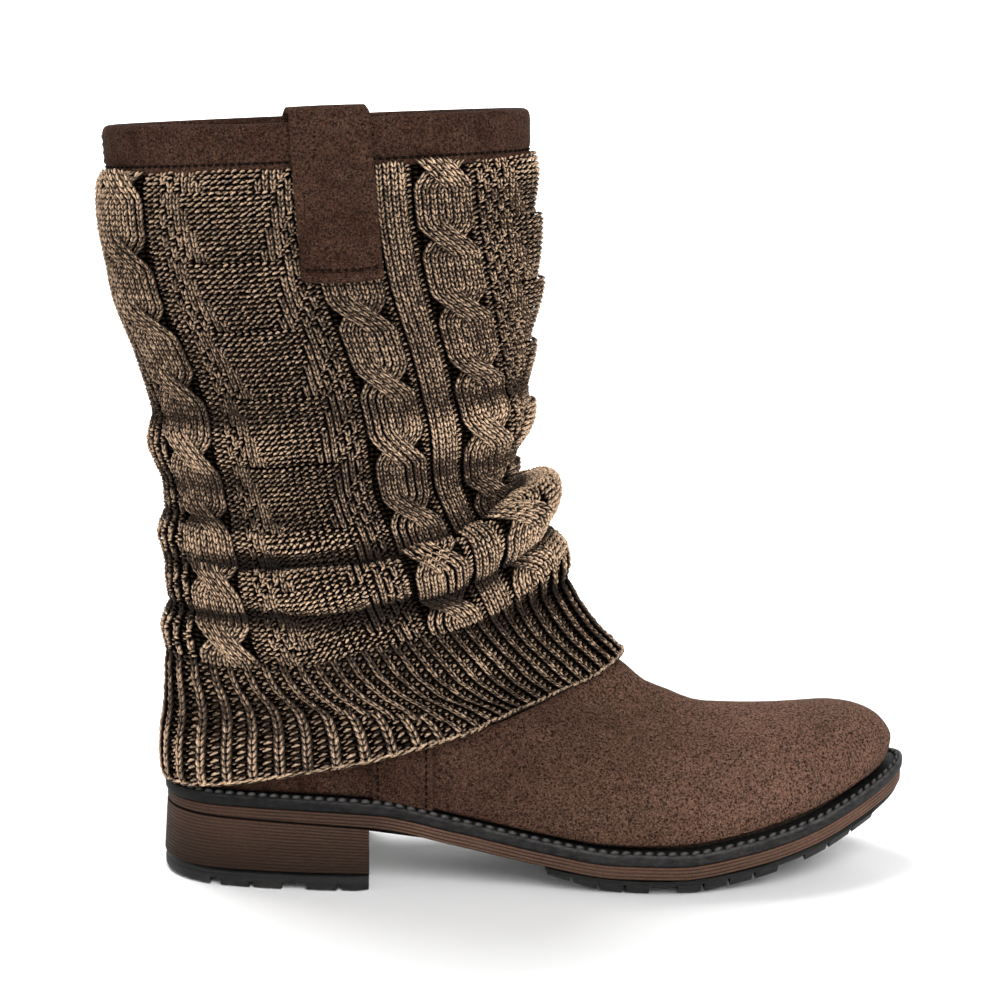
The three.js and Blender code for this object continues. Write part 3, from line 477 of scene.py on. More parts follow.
class Paint:
    """A material under construction, with its shader's constants."""

    def __init__(self, name, gloss=0.5, **constants):
        self.material = bpy.data.materials.new(name)
        self.material.use_nodes = True
        self.nodes = self.material.node_tree.nodes
        self.shader = self.nodes["Principled BSDF"]
        self.shader.inputs["Specular IOR Level"].default_value = gloss
        for key, value in constants.items():
            self.shader.inputs[key.replace("_", " ").title()].default_value = value

    def node(self, kind, settings=None, values=None, output=0):
        node = self.nodes.new(kind)
        for key, value in (settings or {}).items():
            setattr(node, key, value)
        for key, value in (values or {}).items():
            self.connect(value, node.inputs[key])
        return Value(self, node.outputs[output])

    def connect(self, value, socket):
        if isinstance(value, Value):
            self.material.node_tree.links.new(value.socket, socket)
        else:
            socket.default_value = value

    def place(self, scale=(1, 1, 1)):
        at = self.node("ShaderNodeTexCoord", output="Object")
        return self.node("ShaderNodeMapping", values={"Vector": at, "Scale": scale})

    def noise(self, scale, detail=2.0, stretch=(1, 1, 1), roughness=0.55):
        values = {"Vector": self.place(stretch), "Scale": scale}
        values |= {"Detail": detail, "Roughness": roughness}
        return self.node("ShaderNodeTexNoise", values=values)

    def along(self, axis):
        """One of the place's three coordinates, in metres."""
        return self.node("ShaderNodeSeparateXYZ", values={0: self.place()}, output=axis)

    def attribute(self, name):
        return self.node("ShaderNodeAttribute", {"attribute_name": name}, output="Fac")

    def blend(self, factor, a, b):
        """A colour between two, each given as three numbers or as a link."""
        a, b = (v if isinstance(v, Value) else (*v, 1) for v in (a, b))
        return self.node("ShaderNodeMix", {"data_type": "RGBA"}, {0: factor, 6: a, 7: b}, output=2)

    def bump(self, height, distance, strength=1.0, under=None):
        values = {"Height": height, "Distance": distance, "Strength": strength}
        if under is not None:
            values["Normal"] = under
        return self.node("ShaderNodeBump", values=values)

    def surface(self, colour, normal, roughness=None):
        self.connect(colour, self.shader.inputs["Base Color"])
        self.connect(normal, self.shader.inputs["Normal"])
        if roughness is not None:
            self.connect(roughness, self.shader.inputs["Roughness"])
        return self.material


def suede_material():
    look = bpy.context.scene.boot_suede
    sheen = {"sheen_weight": 0.02, "sheen_tint": (0.8, 0.6, 0.5, 1)}
    paint = Paint("napped_suede", gloss=0.03, roughness=0.95, **sheen)
    patches = paint.noise(26, 3).above(0.3, 0.68)
    mottle = paint.noise(120, 4).above(0.3, 0.7)
    nap = paint.noise(1050, 3, roughness=0.75)
    fleck = paint.noise(1500, 2, roughness=0.7)
    # Painted light and shade: lighter towards the toe below the sleeve's hem, darker towards the
    # back and up under the sleeve, where the shaft shades the foot. The patches and mottle are the
    # suede's own tone, and the light flecks follow both.
    ahead = paint.along(0).above(0.05, 0.2) * paint.along(2).above(0.16, 0.12)
    tone_and_painted_light = patches * 0.25 + mottle * 0.2 + ahead * 0.85 - 0.05
    base = paint.blend(tone_and_painted_light.above(0, 1), look.shadow[:], look.colour[:])
    green = paint.blend(paint.noise(55, 2).above(0.52, 0.75) * 0.35, base, (0.03, 0.024, 0.015))
    red = paint.blend(paint.noise(1300, 2).above(0.5, 0.7) * 0.4, green, (0.085, 0.036, 0.024))
    dark = paint.blend(nap.above(0.4, 0.58), (0.008, 0.005, 0.004), red)
    shiny = paint.blend(tone_and_painted_light.above(0, 1), (0.07, 0.035, 0.022), look.fleck[:])
    light = paint.blend(fleck.above(0.52, 0.66) * 0.7, dark, shiny)
    # Painted shadow: the low attribute turns the suede near black in the last few millimetres above
    # the welt, and in the band's and strap's seam grooves.
    low = paint.attribute("low")
    colour = paint.blend(low.above(0.8, 1.0), light, (0.004, 0.003, 0.0025))
    normal = paint.bump(nap + fleck * 0.6, 0.0004, 0.8)
    return paint.surface(colour, normal)


def yarn_material():
    look = bpy.context.scene.boot_knit
    paint = Paint("marled_yarn", gloss=0.06, roughness=0.95, sheen_weight=0.05)
    ply = (paint.attribute("ply") * 6.2832).wave()
    fibre = paint.noise(2600, 2, (1, 1, 0.5), 0.7)
    tone = paint.attribute("tone")
    # crest is painted light and shade: high on the yarn's top, low on its sides, on recessed
    # stitches and in the folds' creases.
    crest = paint.attribute("crest")
    patch = paint.noise(45, 2).above(0.3, 0.7)
    # Painted highlight: the light ply shows mostly on the crests.
    light = crest * crest * 1.45 + ply * 0.4 + tone * 0.45 + fibre * 0.5 + patch * 0.15 - 1.4
    body = paint.blend(light.above(0, 1), look.dark_ply[:], look.light_ply[:])
    # Painted shade: near black where the crest is low, between and under the stitches.
    colour = paint.blend(crest.above(0.2, 0.6), (0.0012, 0.0009, 0.0007), body)
    normal = paint.bump(ply + fibre * 0.8, 0.0003, 0.8)
    return paint.surface(colour, normal)


# Painted shade: a near-black sheet under the stitches, which shows as the shade between them and is
# lighter on the loops' bulges.
def gap_shade_material():
    paint = Paint("yarn_gap_shade", gloss=0, roughness=1.0)
    wool = paint.noise(1500, 3)
    rows = (paint.attribute("course") * 6.2832 + wool * 2).wave()
    loops = (paint.attribute("wale") * 6.2832).wave()
    painted_loop_light = (rows * (loops * 0.5 + 0.5) * (wool + 0.35)).above(0.35, 0.9)
    colour = paint.blend(painted_loop_light, (0.0012, 0.0008, 0.0006), (0.03, 0.02, 0.014))
    return paint.surface(colour, paint.bump(rows * loops + wool * 0.4, 0.0008))


def lining_material(name, dark, light):
    """A plain woven textile."""
    paint = Paint(name, gloss=0.1, roughness=0.95, sheen_weight=0.03)
    x, y, z = (paint.along(axis) for axis in range(3))
    weave = ((x + y) * 5200).wave() * ((z + x * 0.3 - y * 0.3) * 5200).wave()
    fuzz = paint.noise(1200, 3)
    colour = paint.blend((weave * 0.6 + fuzz * 0.5).above(0.1, 0.8), dark, light)
    return paint.surface(colour, paint.bump(weave + fuzz * 0.5, 0.0004, 0.8))


def welt_material():
    look = bpy.context.scene.boot_sole
    paint = Paint("welt_rubber", gloss=0.07, roughness=0.6)
    edge = paint.attribute("edge")
    streaks = paint.noise(420, 3, (1, 1, 0.12), 0.7)
    scuffs = paint.noise(260, 4, (1, 1, 2.5), 0.75)
    # Lighter towards the toe.
    towards_toe = paint.along(0).above(-0.01, 0.11)
    worn = edge * (scuffs.above(0.36, 0.62) * 0.8 + 0.2) * (towards_toe * 0.75 + 0.25)
    grazed = streaks.above(0.4, 0.7) * (towards_toe * 0.5 + 0.3)
    side = paint.blend(grazed, look.welt[:], (0.01, 0.0105, 0.0125))
    colour = paint.blend(worn * 0.6, side, (0.12, 0.112, 0.108))
    normal = paint.bump(streaks * 0.5 + scuffs, 0.0004, 0.6)
    return paint.surface(colour, normal, 0.5 + scuffs * 0.3)


def sole_material():
    """Brown board pressed in thin layers, which the attribute layer counts from below."""
    look = bpy.context.scene.boot_sole
    paint = Paint("stacked_brown", gloss=0.05, roughness=0.7)
    layer = paint.attribute("layer")
    smudge = paint.noise(60, 4, roughness=0.7)
    lines = (layer * 6.2832 + smudge * 1.5).wave()
    thin = (layer * 16.3 + smudge * 3).wave()
    shown = paint.noise(28, 3).above(0.35, 0.6) * 0.6 + 0.25
    fine = paint.noise(1400, 3, roughness=0.7)
    low = paint.along(2).above(0.024, 0.008)
    back = paint.along(0).above(0.06, 0.04)
    base = paint.blend((low * 0.35 + back * 0.65).above(0, 1), look.sole[:], look.heel[:])
    grain = paint.blend(fine.above(0.35, 0.65) * 0.45, base, look.dark_line[:])
    striped = paint.blend(lines.above(0.45, 0.9) * shown, grain, look.dark_line[:])
    light = paint.blend(thin.above(0.7, 1.0) * shown * 0.4, striped, look.light_line[:])
    # Painted shade: near black on the inset rows where the midsole and heel tuck in.
    colour = paint.blend(paint.attribute("groove_shade"), light, (0.0015, 0.001, 0.001))
    normal = paint.bump(fine * 0.4 - lines * 0.8, 0.0004, 0.7)
    return paint.surface(colour, normal, 0.5 + smudge * 0.35)


def tread_material():
    look = bpy.context.scene.boot_sole
    paint = Paint("tread_rubber", gloss=0.25, roughness=0.7)
    dust = paint.noise(120, 4, roughness=0.7)
    pores = paint.noise(1500, 2)
    low = (0.004 - paint.along(2)).above(0, 0.004)
    dusty = dust.above(0.42, 0.75) * (low * 0.4 + 0.15)
    colour = paint.blend(dusty, look.tread[:], (0.06, 0.055, 0.05))
    normal = paint.bump(pores * 0.6 + dust, 0.00025, 0.5)
    return paint.surface(colour, normal, 0.5 + dust * 0.35)


def thread_material(name, dark, light):
    paint = Paint(name, gloss=0.08, roughness=0.8)
    # Painted highlight: each stitch is lightest along its middle and darkest at its ends, where it
    # sinks into its holes.
    stitch_highlight = (paint.attribute("ply") * 3.1416 + 1.5708).wave()
    colour = paint.blend((stitch_highlight * 0.7 + paint.noise(1800, 2) * 0.5).above(0.2, 1.1), dark, light)
    return paint.surface(colour, paint.bump(stitch_highlight, 0.0002, 0.8))


def floor_material():
    look = bpy.context.scene.boot_stage
    paint = Paint("studio_floor", roughness=0.9)
    grain = paint.noise(300, 3)
    tint = tuple(0.99 * c for c in look.floor)
    colour = paint.blend(grain, tint, look.floor[:])
    return paint.surface(colour, paint.bump(grain, 0.0002, 0.1))


# Thread and yarn: each stretch is a low spindle with few faces.

def spindle():
    """A closed stretch of yarn from -1 to 1 along y, with a radius of about 1."""
    bpy.ops.mesh.primitive_uv_sphere_add(segments=4, ring_count=4, radius=1)
    bead = bpy.context.object
    bpy.ops.object.mode_set(mode="EDIT")
    bpy.ops.mesh.select_all(action="SELECT")
    bpy.ops.mesh.quads_convert_to_tris()
    bpy.ops.object.mode_set(mode="OBJECT")
    points = np.array([v.co for v in bead.data.vertices])
    faces = np.array([p.vertices[:] for p in bead.data.polygons])
    bpy.data.objects.remove(bead)
    x, t, z = points[:, 0], points[:, 2], -points[:, 1]
    fuller = np.where(np.abs(t) > 0.5, 1.18, 1.0)
    return np.stack([x * fuller, t, z * fuller], axis=-1), faces


def seam(points, ups, pitch, size):
    """Stitches along a line of points, each with its length, width and height."""
    points = np.asarray(points, float)
    ups = np.broadcast_to(np.asarray(ups, float), points.shape)
    walked = np.concatenate([[0], np.cumsum(np.linalg.norm(np.diff(points, axis=0), axis=-1))])
    count = max(int(walked[-1] / pitch), 1)
    at = (np.arange(count) + 0.5) * walked[-1] / count

    def read(table, where):
        return np.stack([np.interp(where, walked, table[:, k]) for k in range(3)], axis=-1)

    run = unit(read(points, at + 0.2) - read(points, at - 0.2))
    up = unit(read(ups, at))
    side = unit(np.cross(run, up))
    return read(points, at), side, run, up, size


def thread_piece(name, seams, rng):
    """All the stitches of some seams as one mesh."""
    shape, faces = spindle()
    rows = []
    for centre, side, run, up, (length, width, height) in seams:
        turn = rng.normal(0, 0.05, (len(centre), 1))
        run, side = unit(run + side * turn), unit(side - run * turn)
        steps = shape * (width / 2, length / 2, height / 2)
        axes = np.stack([side, run, up], axis=1)
        bend = up * -0.12 * height
        stitch = centre[:, None] + np.einsum("sk,nkc->nsc", steps, axes)
        rows.append(stitch + bend[:, None] * (shape[:, 1] ** 2)[None, :, None])
    points = np.concatenate(rows)
    corner = np.arange(len(points))[:, None, None] * len(shape) + faces
    piece = mesh_piece(name, to_frame(points).reshape(-1, 3), corner.reshape(-1, 3))
    ply = np.broadcast_to(shape[:, 1] * 0.8 + shape[:, 0] * 0.3, points.shape[:2])
    point_attribute(piece, "ply", ply)
    return piece


# The knit: a grid of points over the shaft, on which each stitch is laid.

WALES = 140
COURSES = 98
RIBS = 60
RIB_COURSES = 19
PROFILE_STEPS = 360

# Folds of the slouched sleeve: crest at the back and front of SHAFT_HEIGHT, how late it climbs
# to the front, depths at the back, sides and front of FOLD_DEPTH, half width and how round it is,
# and how far up its crest leans over the crease above it.
FOLDS = [
    (0.397, 0.481, 3, 0.15, 0.78, 1.2, 7.2, 0.6, 4.5),
    (0.439, 0.523, 3, -0.05, -0.24, -0.2, 5.5, 1.5, 0),
    (0.353, 0.437, 3, 0, -0.14, -0.1, 5, 1.5, 0),
    (0.33, 0.418, 2, 0.35, 0.1, 0.6, 9, 1.2, 2),
    (0.45, 0.47, 1, 0.4, 0.05, 0, 11, 1.5, 2),
    (0.575, 0.61, 1, 0.45, 0.15, 0.4, 13, 1.7, 2),
    (0.88, 0.8, 1, 0.3, 0.05, 0.15, 26, 2, 0),
]


def folds(angle, height):
    """How far the folds stand out at a height, and how far they lean up."""
    along = along_at(angle)
    out, up = np.zeros(np.shape(height)), np.zeros(np.shape(height))
    for back, front, turn, at_back, at_side, at_front, half_width, roundness, lean in FOLDS:
        crest = mix(back, front, along ** turn) * SHAFT_HEIGHT
        depth = Curve([0, 0.5, 1], [at_back, at_side, at_front])(along)
        bump = np.maximum(1 - ((height - crest) / half_width) ** 2, 0) ** roundness
        out += depth * FOLD_DEPTH * bump
        up += depth * lean * bump
    return out, up


def sleeve_lining(angle, height):
    """How far the sleeve's lining stands off the upper, clear of the strip and over the folds."""
    bare = bare_point(level_at(angle, height), angle)
    strip = STRIP_FRONT - STRIP_WIDTH / 2
    beside = np.maximum(np.abs(bare[..., 0] - strip) - STRIP_WIDTH / 2, 0) / STRIP_WIDTH
    above = np.maximum(height - float(welt_top(strip)) - STRIP_HEIGHT, 0) / STRIP_WIDTH
    near = np.where(bare[..., 1] < 0, np.clip(1.3 - np.maximum(beside, above), 0, 1), 0)
    out, up = folds(angle, height)
    return np.maximum(SLEEVE_EASE + near * STRIP_STAND + out, 0.15), up


def even_angles(count):
    """Angles that stand evenly along the ankle's ring."""
    fine = np.linspace(0, 2 * np.pi, 1441)
    ring = bare_point(np.full(fine.shape, len(FOOT) - 1.0), fine)
    walked = np.concatenate([[0], np.cumsum(np.linalg.norm(np.diff(ring, axis=0), axis=-1))])
    return np.interp(np.arange(count) / count * walked[-1], walked, fine)


class Fabric:
    """A closed sheet of points, from which any place between wales and courses is read."""

    def __init__(self, points, finer):
        self.points = points
        self.finer = finer
        along = np.gradient(points, axis=0)
        around = np.roll(points, -1, axis=1) - np.roll(points, 1, axis=1)
        self.normals = unit(np.cross(along, around))
        reach = 4 * finer
        longer = np.pad(points, ((reach, reach), (0, 0), (0, 0)), mode="edge")
        near = sum(longer[k:k + len(points)] for k in range(2 * reach + 1)) / (2 * reach + 1)
        stands = np.einsum("rcn,rcn->rc", points - near, self.normals)
        # Painted light and shade for the yarn's colour: darker in the folds' creases, lighter on
        # their crests.
        self.open = np.clip(0.95 + stands / 2.6, 0.1, 1.1)[..., None]
        self.calm = np.clip(1.1 - stands / 1.7, 0.12, 1)[..., None]

    def read(self, grid, wale, course):
        """A grid's value at any place between wales and courses."""
        rows, columns = self.points.shape[:2]
        row = np.clip(course * self.finer, 0, rows - 1.001)
        r = row.astype(int)
        up = (row - r)[..., None]
        column = np.mod(wale, columns)
        c = np.minimum(column.astype(int), columns - 1)
        across = (column - c)[..., None]
        d = (c + 1) % columns

        low = mix(grid[r, c], grid[r, d], across)
        high = mix(grid[r + 1, c], grid[r + 1, d], across)
        return mix(low, high, up)

    def at(self, wale, course, out):
        away = unit(self.read(self.normals, wale, course)) * out[..., None]
        return self.read(self.points, wale, course) + away


# Where the ribbed cuff ends, as a share of the sleeve's height, from the back to the front.
CUFF_TOP = Curve([0, 0.12, 0.33, 0.58, 0.78, 1], [0.225, 0.2, 0.165, 0.155, 0.165, 0.205])
TUCK = 6
TUCK_DEPTH = 1.7


def sleeve_columns(count, stand):
    """Points up the sleeve at even steps of height, standing off its lining, and their lengths."""
    angles = even_angles(count)
    hem = hem_height(angles)
    top = collar_height(angles) - BAND_HEIGHT + 0.4
    share = np.linspace(0, 1, PROFILE_STEPS + 1)[:, None]
    height = mix(hem, top, share)
    angle = np.broadcast_to(angles, height.shape)
    lining, up = sleeve_lining(angle, height)
    tucked = np.clip(1 - (top - height) / TUCK, 0, 1) ** 2 * TUCK_DEPTH * (stand > 0)
    offset = lining + SLACK * np.sin(np.pi * share) + stand - tucked
    points = upper_point(level_at(angle, height), angle, offset) + up[..., None] * (0, 0, 1)
    run = np.linalg.norm(np.diff(points, axis=0), axis=-1)
    length = np.concatenate([np.zeros((1, count)), np.cumsum(run, axis=0)])
    return angles, points, length


def even_rows(points, length, start, end, rows):
    """Resamples each column between two of its lengths into even rows."""
    share = np.linspace(0, 1, rows)
    out = np.empty((rows, points.shape[1], 3))
    for k in range(points.shape[1]):
        goal = mix(start[k], end[k], share)
        for axis in range(3):
            out[:, k, axis] = np.interp(goal, length[:, k], points[:, k, axis])
    return out


def sleeve_fabric(count, courses, cuff, stand, finer=2):
    """The cuff's or the patterned part's sheet, at a distance outside the sleeve's lining."""
    angles, points, length = sleeve_columns(count, stand)
    at_cuff = CUFF_TOP(along_at(angles)) * PROFILE_STEPS
    k = at_cuff.astype(int)
    columns = np.arange(count)
    split = mix(length[k, columns], length[k + 1, columns], at_cuff - k)
    start, end = (np.zeros(count), split) if cuff else (split, length[-1])
    return Fabric(even_rows(points, length, start, end, courses * finer + 1), finer)


# The chart, read on each side from the middle of the back. A cable has two strands of four wales.
CABLES = [(5, 13), (35, 43), (49, 57)]
SCALE_PANELS = [(24.5, 9.5), (70, 10)]
PLAIN = (44, 48)
GUTTERS = [(13, 15), (34, 35), (43, 44), (48, 49), (57, 58)]
CABLE_PERIOD = 13
CABLE_PHASE = 0.15
CROSSING = 0.6
CROSSING_LIFT = 1.5
STRAND_WALES = 4
DRIFT_WALES = 5
FRONT_DRIFT = 3.5
SCALE_PERIOD = 13
SCALE_PHASE = 0.72
SCALE_RIM = 2


def side_wale(wale):
    return np.minimum(wale, WALES - wale)


def drift(side, course):
    """How many wales the twisted sleeve has turned towards the toe."""
    down = np.clip((COURSES - 3 - course) / (0.72 * COURSES), 0, 1)
    ahead = np.clip((side - 24) / 14, 0, 1) * np.clip((70 - side) / 12, 0, 1)
    behind = np.clip(side / 5, 0, 1)
    return (DRIFT_WALES * behind + FRONT_DRIFT * ahead) * down * down * (3 - 2 * down)


def strand_path(strand, course):
    """Sideways place, height and spread of a cable's strand."""
    down = (COURSES - course) / CABLE_PERIOD + CABLE_PHASE
    turn = np.floor(down)
    t = np.clip((down - turn) / CROSSING, 0, 1)
    start = np.where(np.mod(turn + strand, 2) == 0, -1.0, 1.0)
    place = start * (1 - 2 * t * t * (3 - 2 * t)) * STRAND_WALES / 2
    lift = np.sin(np.pi * t) * np.where(start < 0, CROSSING_LIFT, -0.9 * CROSSING_LIFT)
    return place, lift, np.sin(np.pi * t)


def scale_shape(x, half, course, phase):
    """Within a panel of scales: whether a stitch is purl, and its relief."""
    down = (COURSES - course) / SCALE_PERIOD + phase
    v = down - np.floor(down)
    reach = (half - 2.6) * (1 - 0.5 * v)
    inside = np.abs(x) < reach
    rim = (np.abs(x) >= reach) & (np.abs(x) < reach + SCALE_RIM)
    moss = np.mod(np.floor(x + 64) + np.floor(course / 2), 2) == 0
    purl = (inside & (v > 0.06)) | (~rim & ~inside & moss)
    swell = np.clip(v / 0.1, 0, 1) ** 0.5 * (1 - 0.85 * v ** 1.5)
    pillow = 3.6 * np.maximum(1 - (x / (reach + 2.5)) ** 2, 0) ** 0.8 * swell
    outer = 1.4 * np.clip((np.abs(x) - reach - 0.5) / 3, 0, 1) * np.sin(np.pi * v) ** 0.5
    return purl, pillow + outer - 1.1


def chart():
    """All stitches above the cuff: wale and course, whether purl, relief, cable or -1."""
    wale, course = np.meshgrid(np.arange(WALES) + 0.5, np.arange(COURSES) + 0.5)
    wale, course = wale.ravel(), course.ravel()
    side = side_wale(wale)
    purl = np.mod(np.floor(side) + np.floor(course / 2), 2) == 0
    relief = np.zeros(side.shape)
    cable = np.full(side.shape, -1)
    for n, (start, end) in enumerate(CABLES):
        cable[(side > start) & (side < end)] = n
    for n, (centre, half) in enumerate(SCALE_PANELS):
        here = np.abs(side - centre) < half
        is_purl, pillow = scale_shape(side - centre, half, course, SCALE_PHASE + 0.4 * n)
        purl = np.where(here, is_purl, purl)
        relief = np.where(here, pillow, relief)
    for start, end in GUTTERS:
        here = (side > start) & (side < end)
        purl, relief = purl | here, np.where(here, -0.8, relief)
    plain = (side > PLAIN[0]) & (side < PLAIN[1])
    purl &= ~plain & (cable < 0)
    bow = 1 - ((side - sum(PLAIN) / 2) / 2.3) ** 2
    relief = np.where(plain, 0.7 + 1.3 * bow, relief)
    return wale, course, purl, relief, cable


def cable_relief():
    return bpy.context.scene.boot_knit.cable_relief / MM


def pattern_place(legs, course):
    """Where the stitches' own lines run at given courses: wale, lift and spread there."""
    each = course.shape[1]
    wale, relief, cable = (np.repeat(legs[key], each) for key in ("wale", "relief", "cable"))
    at_course = course.ravel()
    side = side_wale(wale)
    place, lift, spread = side.copy(), relief.copy(), np.ones(side.shape)
    for n, (start, _) in enumerate(CABLES):
        here = cable == n
        k = side[here] - start
        strand = np.where(k < STRAND_WALES, 0, 1)
        q = k - strand * STRAND_WALES - STRAND_WALES / 2
        centre, up, crossing = strand_path(strand, at_course[here])
        wide = 1 + 0.2 * crossing
        place[here] = start + STRAND_WALES + centre + q * wide
        bulge = np.sqrt(1 - (q / (0.54 * STRAND_WALES)) ** 2)
        broad = np.sqrt(np.maximum(1 - ((centre + q) / (1.1 * STRAND_WALES)) ** 2, 0))
        lift[here] = cable_relief() * mix(0.7 * broad + 0.3 * bulge, bulge, crossing) + up
        spread[here] = wide
    drifted = place + drift(side, at_course)
    turned = np.where(wale < WALES / 2, drifted, WALES - drifted)
    return (v.reshape(course.shape) for v in (turned, lift, spread))


def rib_place(legs, course):
    knit = legs["form"][:, 1:2] > 0
    hem = legs["course"][:, None] < 0.3
    lift = np.where(knit, 1.1, np.where(hem, 1.3, -1.2))
    grown = np.clip(course / 1.5, 0, 1) * 0.6 + 0.4
    ending = np.clip((RIB_COURSES + 0.5 - course) / 3, 0.2, 1)
    spread = np.where(knit, 0.85, np.where(hem, 1.1, 1.0)) + 0 * course
    return legs["wale"][:, None] + 0 * course, lift * grown * ending, spread


def press(points):
    """How much the pull strap presses the knit at points of the outer side."""
    beside = np.abs(points[..., 0] - STRAP_CENTRE - STRAP_LEAN / 2) - STRAP_WIDTH / 2
    below = SHAFT_HEIGHT - STRAP_DROP - points[..., 2]
    outside = np.where(points[..., 1] < 0, np.maximum(beside, below), 99)
    return np.clip(1 - outside / 5, 0, 1)


def knit_leg(side, t, x, jitter, size):
    """One leg of a knit stitch: offsets in wales, in courses and in millimetres outwards."""
    across = side * (0.07 + 0.16 * (t + 1)) + x * 0.2 * size + 0.025 * jitter[:, 0:1]
    along = 0.7 * t - side * x * 0.1 + 0.03 * jitter[:, 1:2]
    return across, along, 0.34 - 0.16 * t - 0.52 * t * t


def purl_bump(side, t, x, jitter, size):
    """The two bumps of a purl stitch: a dash, and a lower one between it and its neighbour."""
    main = side > 0
    across = np.where(main, 0.42 * t, 0.5 + 0.36 * t) + 0.06 * jitter[:, 0:1]
    slant = (0.2 + 0.07 * jitter[:, 0:1]) * t
    dash = 0.03 + 0.16 * (1 - t * t) - slant + x * 0.25 * size
    low = -0.46 - 0.12 * (1 - t * t) - 0.5 * slant + x * 0.23
    along = np.where(main, dash, low) + 0.05 * jitter[:, 1:2]
    return across, along, np.where(main, 0.6 - 0.65 * t * t, 0.35 - 0.6 * t * t)


def lay_yarn(name, fabric, place_of, legs, rng):
    """Lays stretches of yarn on the fabric, two to each stitch."""
    shape, faces = spindle()
    x, t, z = shape[:, 0], shape[:, 1], shape[:, 2]
    count = len(legs["wale"])
    jitter = rng.normal(0, 1, (count, 4))
    side, kind = legs["form"][:, 0:1], legs["form"][:, 1:2]
    size = 1 + 0.07 * jitter[:, 3:4]
    thick = bpy.context.scene.boot_knit.yarn_thickness / MM / 2
    leg, bump = knit_leg(side, t, x, jitter, size), purl_bump(side, t, x, jitter, size)
    across, along, height = (np.where(kind > 0, a, b) for a, b in zip(leg, bump))
    out = height + z * thick * size + 0.08 * jitter[:, 2:3]
    course = legs["course"][:, None] + along
    wale, lift, spread = place_of(legs, course)
    where = wale + across * spread
    free = 1 - press(fabric.at(where, course, np.zeros(course.shape)))
    lift = lift * fabric.read(fabric.calm, where, course)[..., 0]
    points = fabric.at(where, course, lift * free + out)
    corner = np.arange(count)[:, None, None] * len(shape) + faces
    piece = mesh_piece(name, to_frame(points).reshape(-1, 3), corner.reshape(-1, 3))
    around = np.arctan2(z, x) / (2 * np.pi)
    point_attribute(piece, "ply", around * 2 + t * 0.8 + rng.random((count, 1)))
    point_attribute(piece, "tone", np.broadcast_to(rng.random((count, 1)), points.shape[:2]))
    # The crest attribute is painted light and shade: higher points of the yarn are lighter, and
    # lower ones, recessed stitches and the folds' creases are darker.
    painted_recess_shade = np.clip((lift + 1.2) / 3.2, 0, 1) * 0.06 + 0.94
    lit = fabric.read(fabric.open, where, course)[..., 0]
    point_attribute(piece, "crest", np.clip((out + 0.45) / 1.3, 0, 1) * painted_recess_shade * lit)
    return piece


def legs_of(wale, course, purl, **more):
    """Two stretches of yarn for each stitch: side and, for a purl one, -1."""
    form = np.stack([np.ones(len(wale)), np.where(purl, -1.0, 1.0)], axis=-1)
    legs = {"wale": np.concatenate([wale, wale]), "course": np.concatenate([course, course])}
    legs["form"] = np.concatenate([form, form * (-1, 1)])
    for key, value in more.items():
        legs[key] = np.concatenate([value, value])
    return legs


def main_backing():
    """A closed sheet under the patterned stitches: up outside, and back down inside."""
    under = SLEEVE_WALL - 1.75
    main = sleeve_fabric(WALES, COURSES, False, under, 1)
    wale, course = np.meshgrid(np.arange(WALES) + 0.0, np.arange(COURSES + 1) + 0.0)
    side = side_wale(wale) - drift(side_wale(wale), course)
    bulge = np.zeros(side.shape)
    for start, end in CABLES:
        bulge += 1.8 * np.maximum(1 - ((side - (start + end) / 2) / 3.2) ** 2, 0)
    for n, (centre, half) in enumerate(SCALE_PANELS):
        pillow = scale_shape(side - centre, half, course, SCALE_PHASE + 0.4 * n)[1]
        bulge += np.where(np.abs(side - centre) < half, np.maximum(pillow, -0.6), 0) * 0.8
    bulge *= 1 - press(main.points)
    bulge *= np.clip(course / 3, 0, 1) * np.clip((COURSES - course) / 4, 0, 1)
    outside = main.points + main.normals * bulge[..., None]
    lining = sleeve_fabric(WALES, 30, False, 0.05, 1).points
    return np.concatenate([outside, lining[::-1]]), wale, course


def cuff_shade_backing():
    """The same under the ribs, which it follows."""
    cuff = sleeve_fabric(4 * RIBS, RIB_COURSES, True, SLEEVE_WALL - 1.8, 1)
    half_wale, course = np.meshgrid(np.arange(4 * RIBS), np.arange(RIB_COURSES + 1) + 0.0)
    ridge = np.array([0.7, 1.8, 0.7, 0.0])[half_wale % 4]
    ridge *= np.clip(course / 1.5, 0, 1) * 0.6 + 0.4
    outside = cuff.points + cuff.normals * ridge[..., None]
    lining = sleeve_fabric(4 * RIBS, 6, True, 0.05, 1).points
    return np.concatenate([outside, lining[::-1]]), half_wale / 2, course


def lay_backing(name, rings, wale, course, material):
    piece = tube_piece(name, rings)
    inside = np.zeros((len(rings) - len(wale), wale.shape[1]))
    point_attribute(piece, "wale", np.concatenate([wale, inside]))
    point_attribute(piece, "course", np.concatenate([course, inside]))
    settle(piece, "yarn", material, "knit_sleeve")


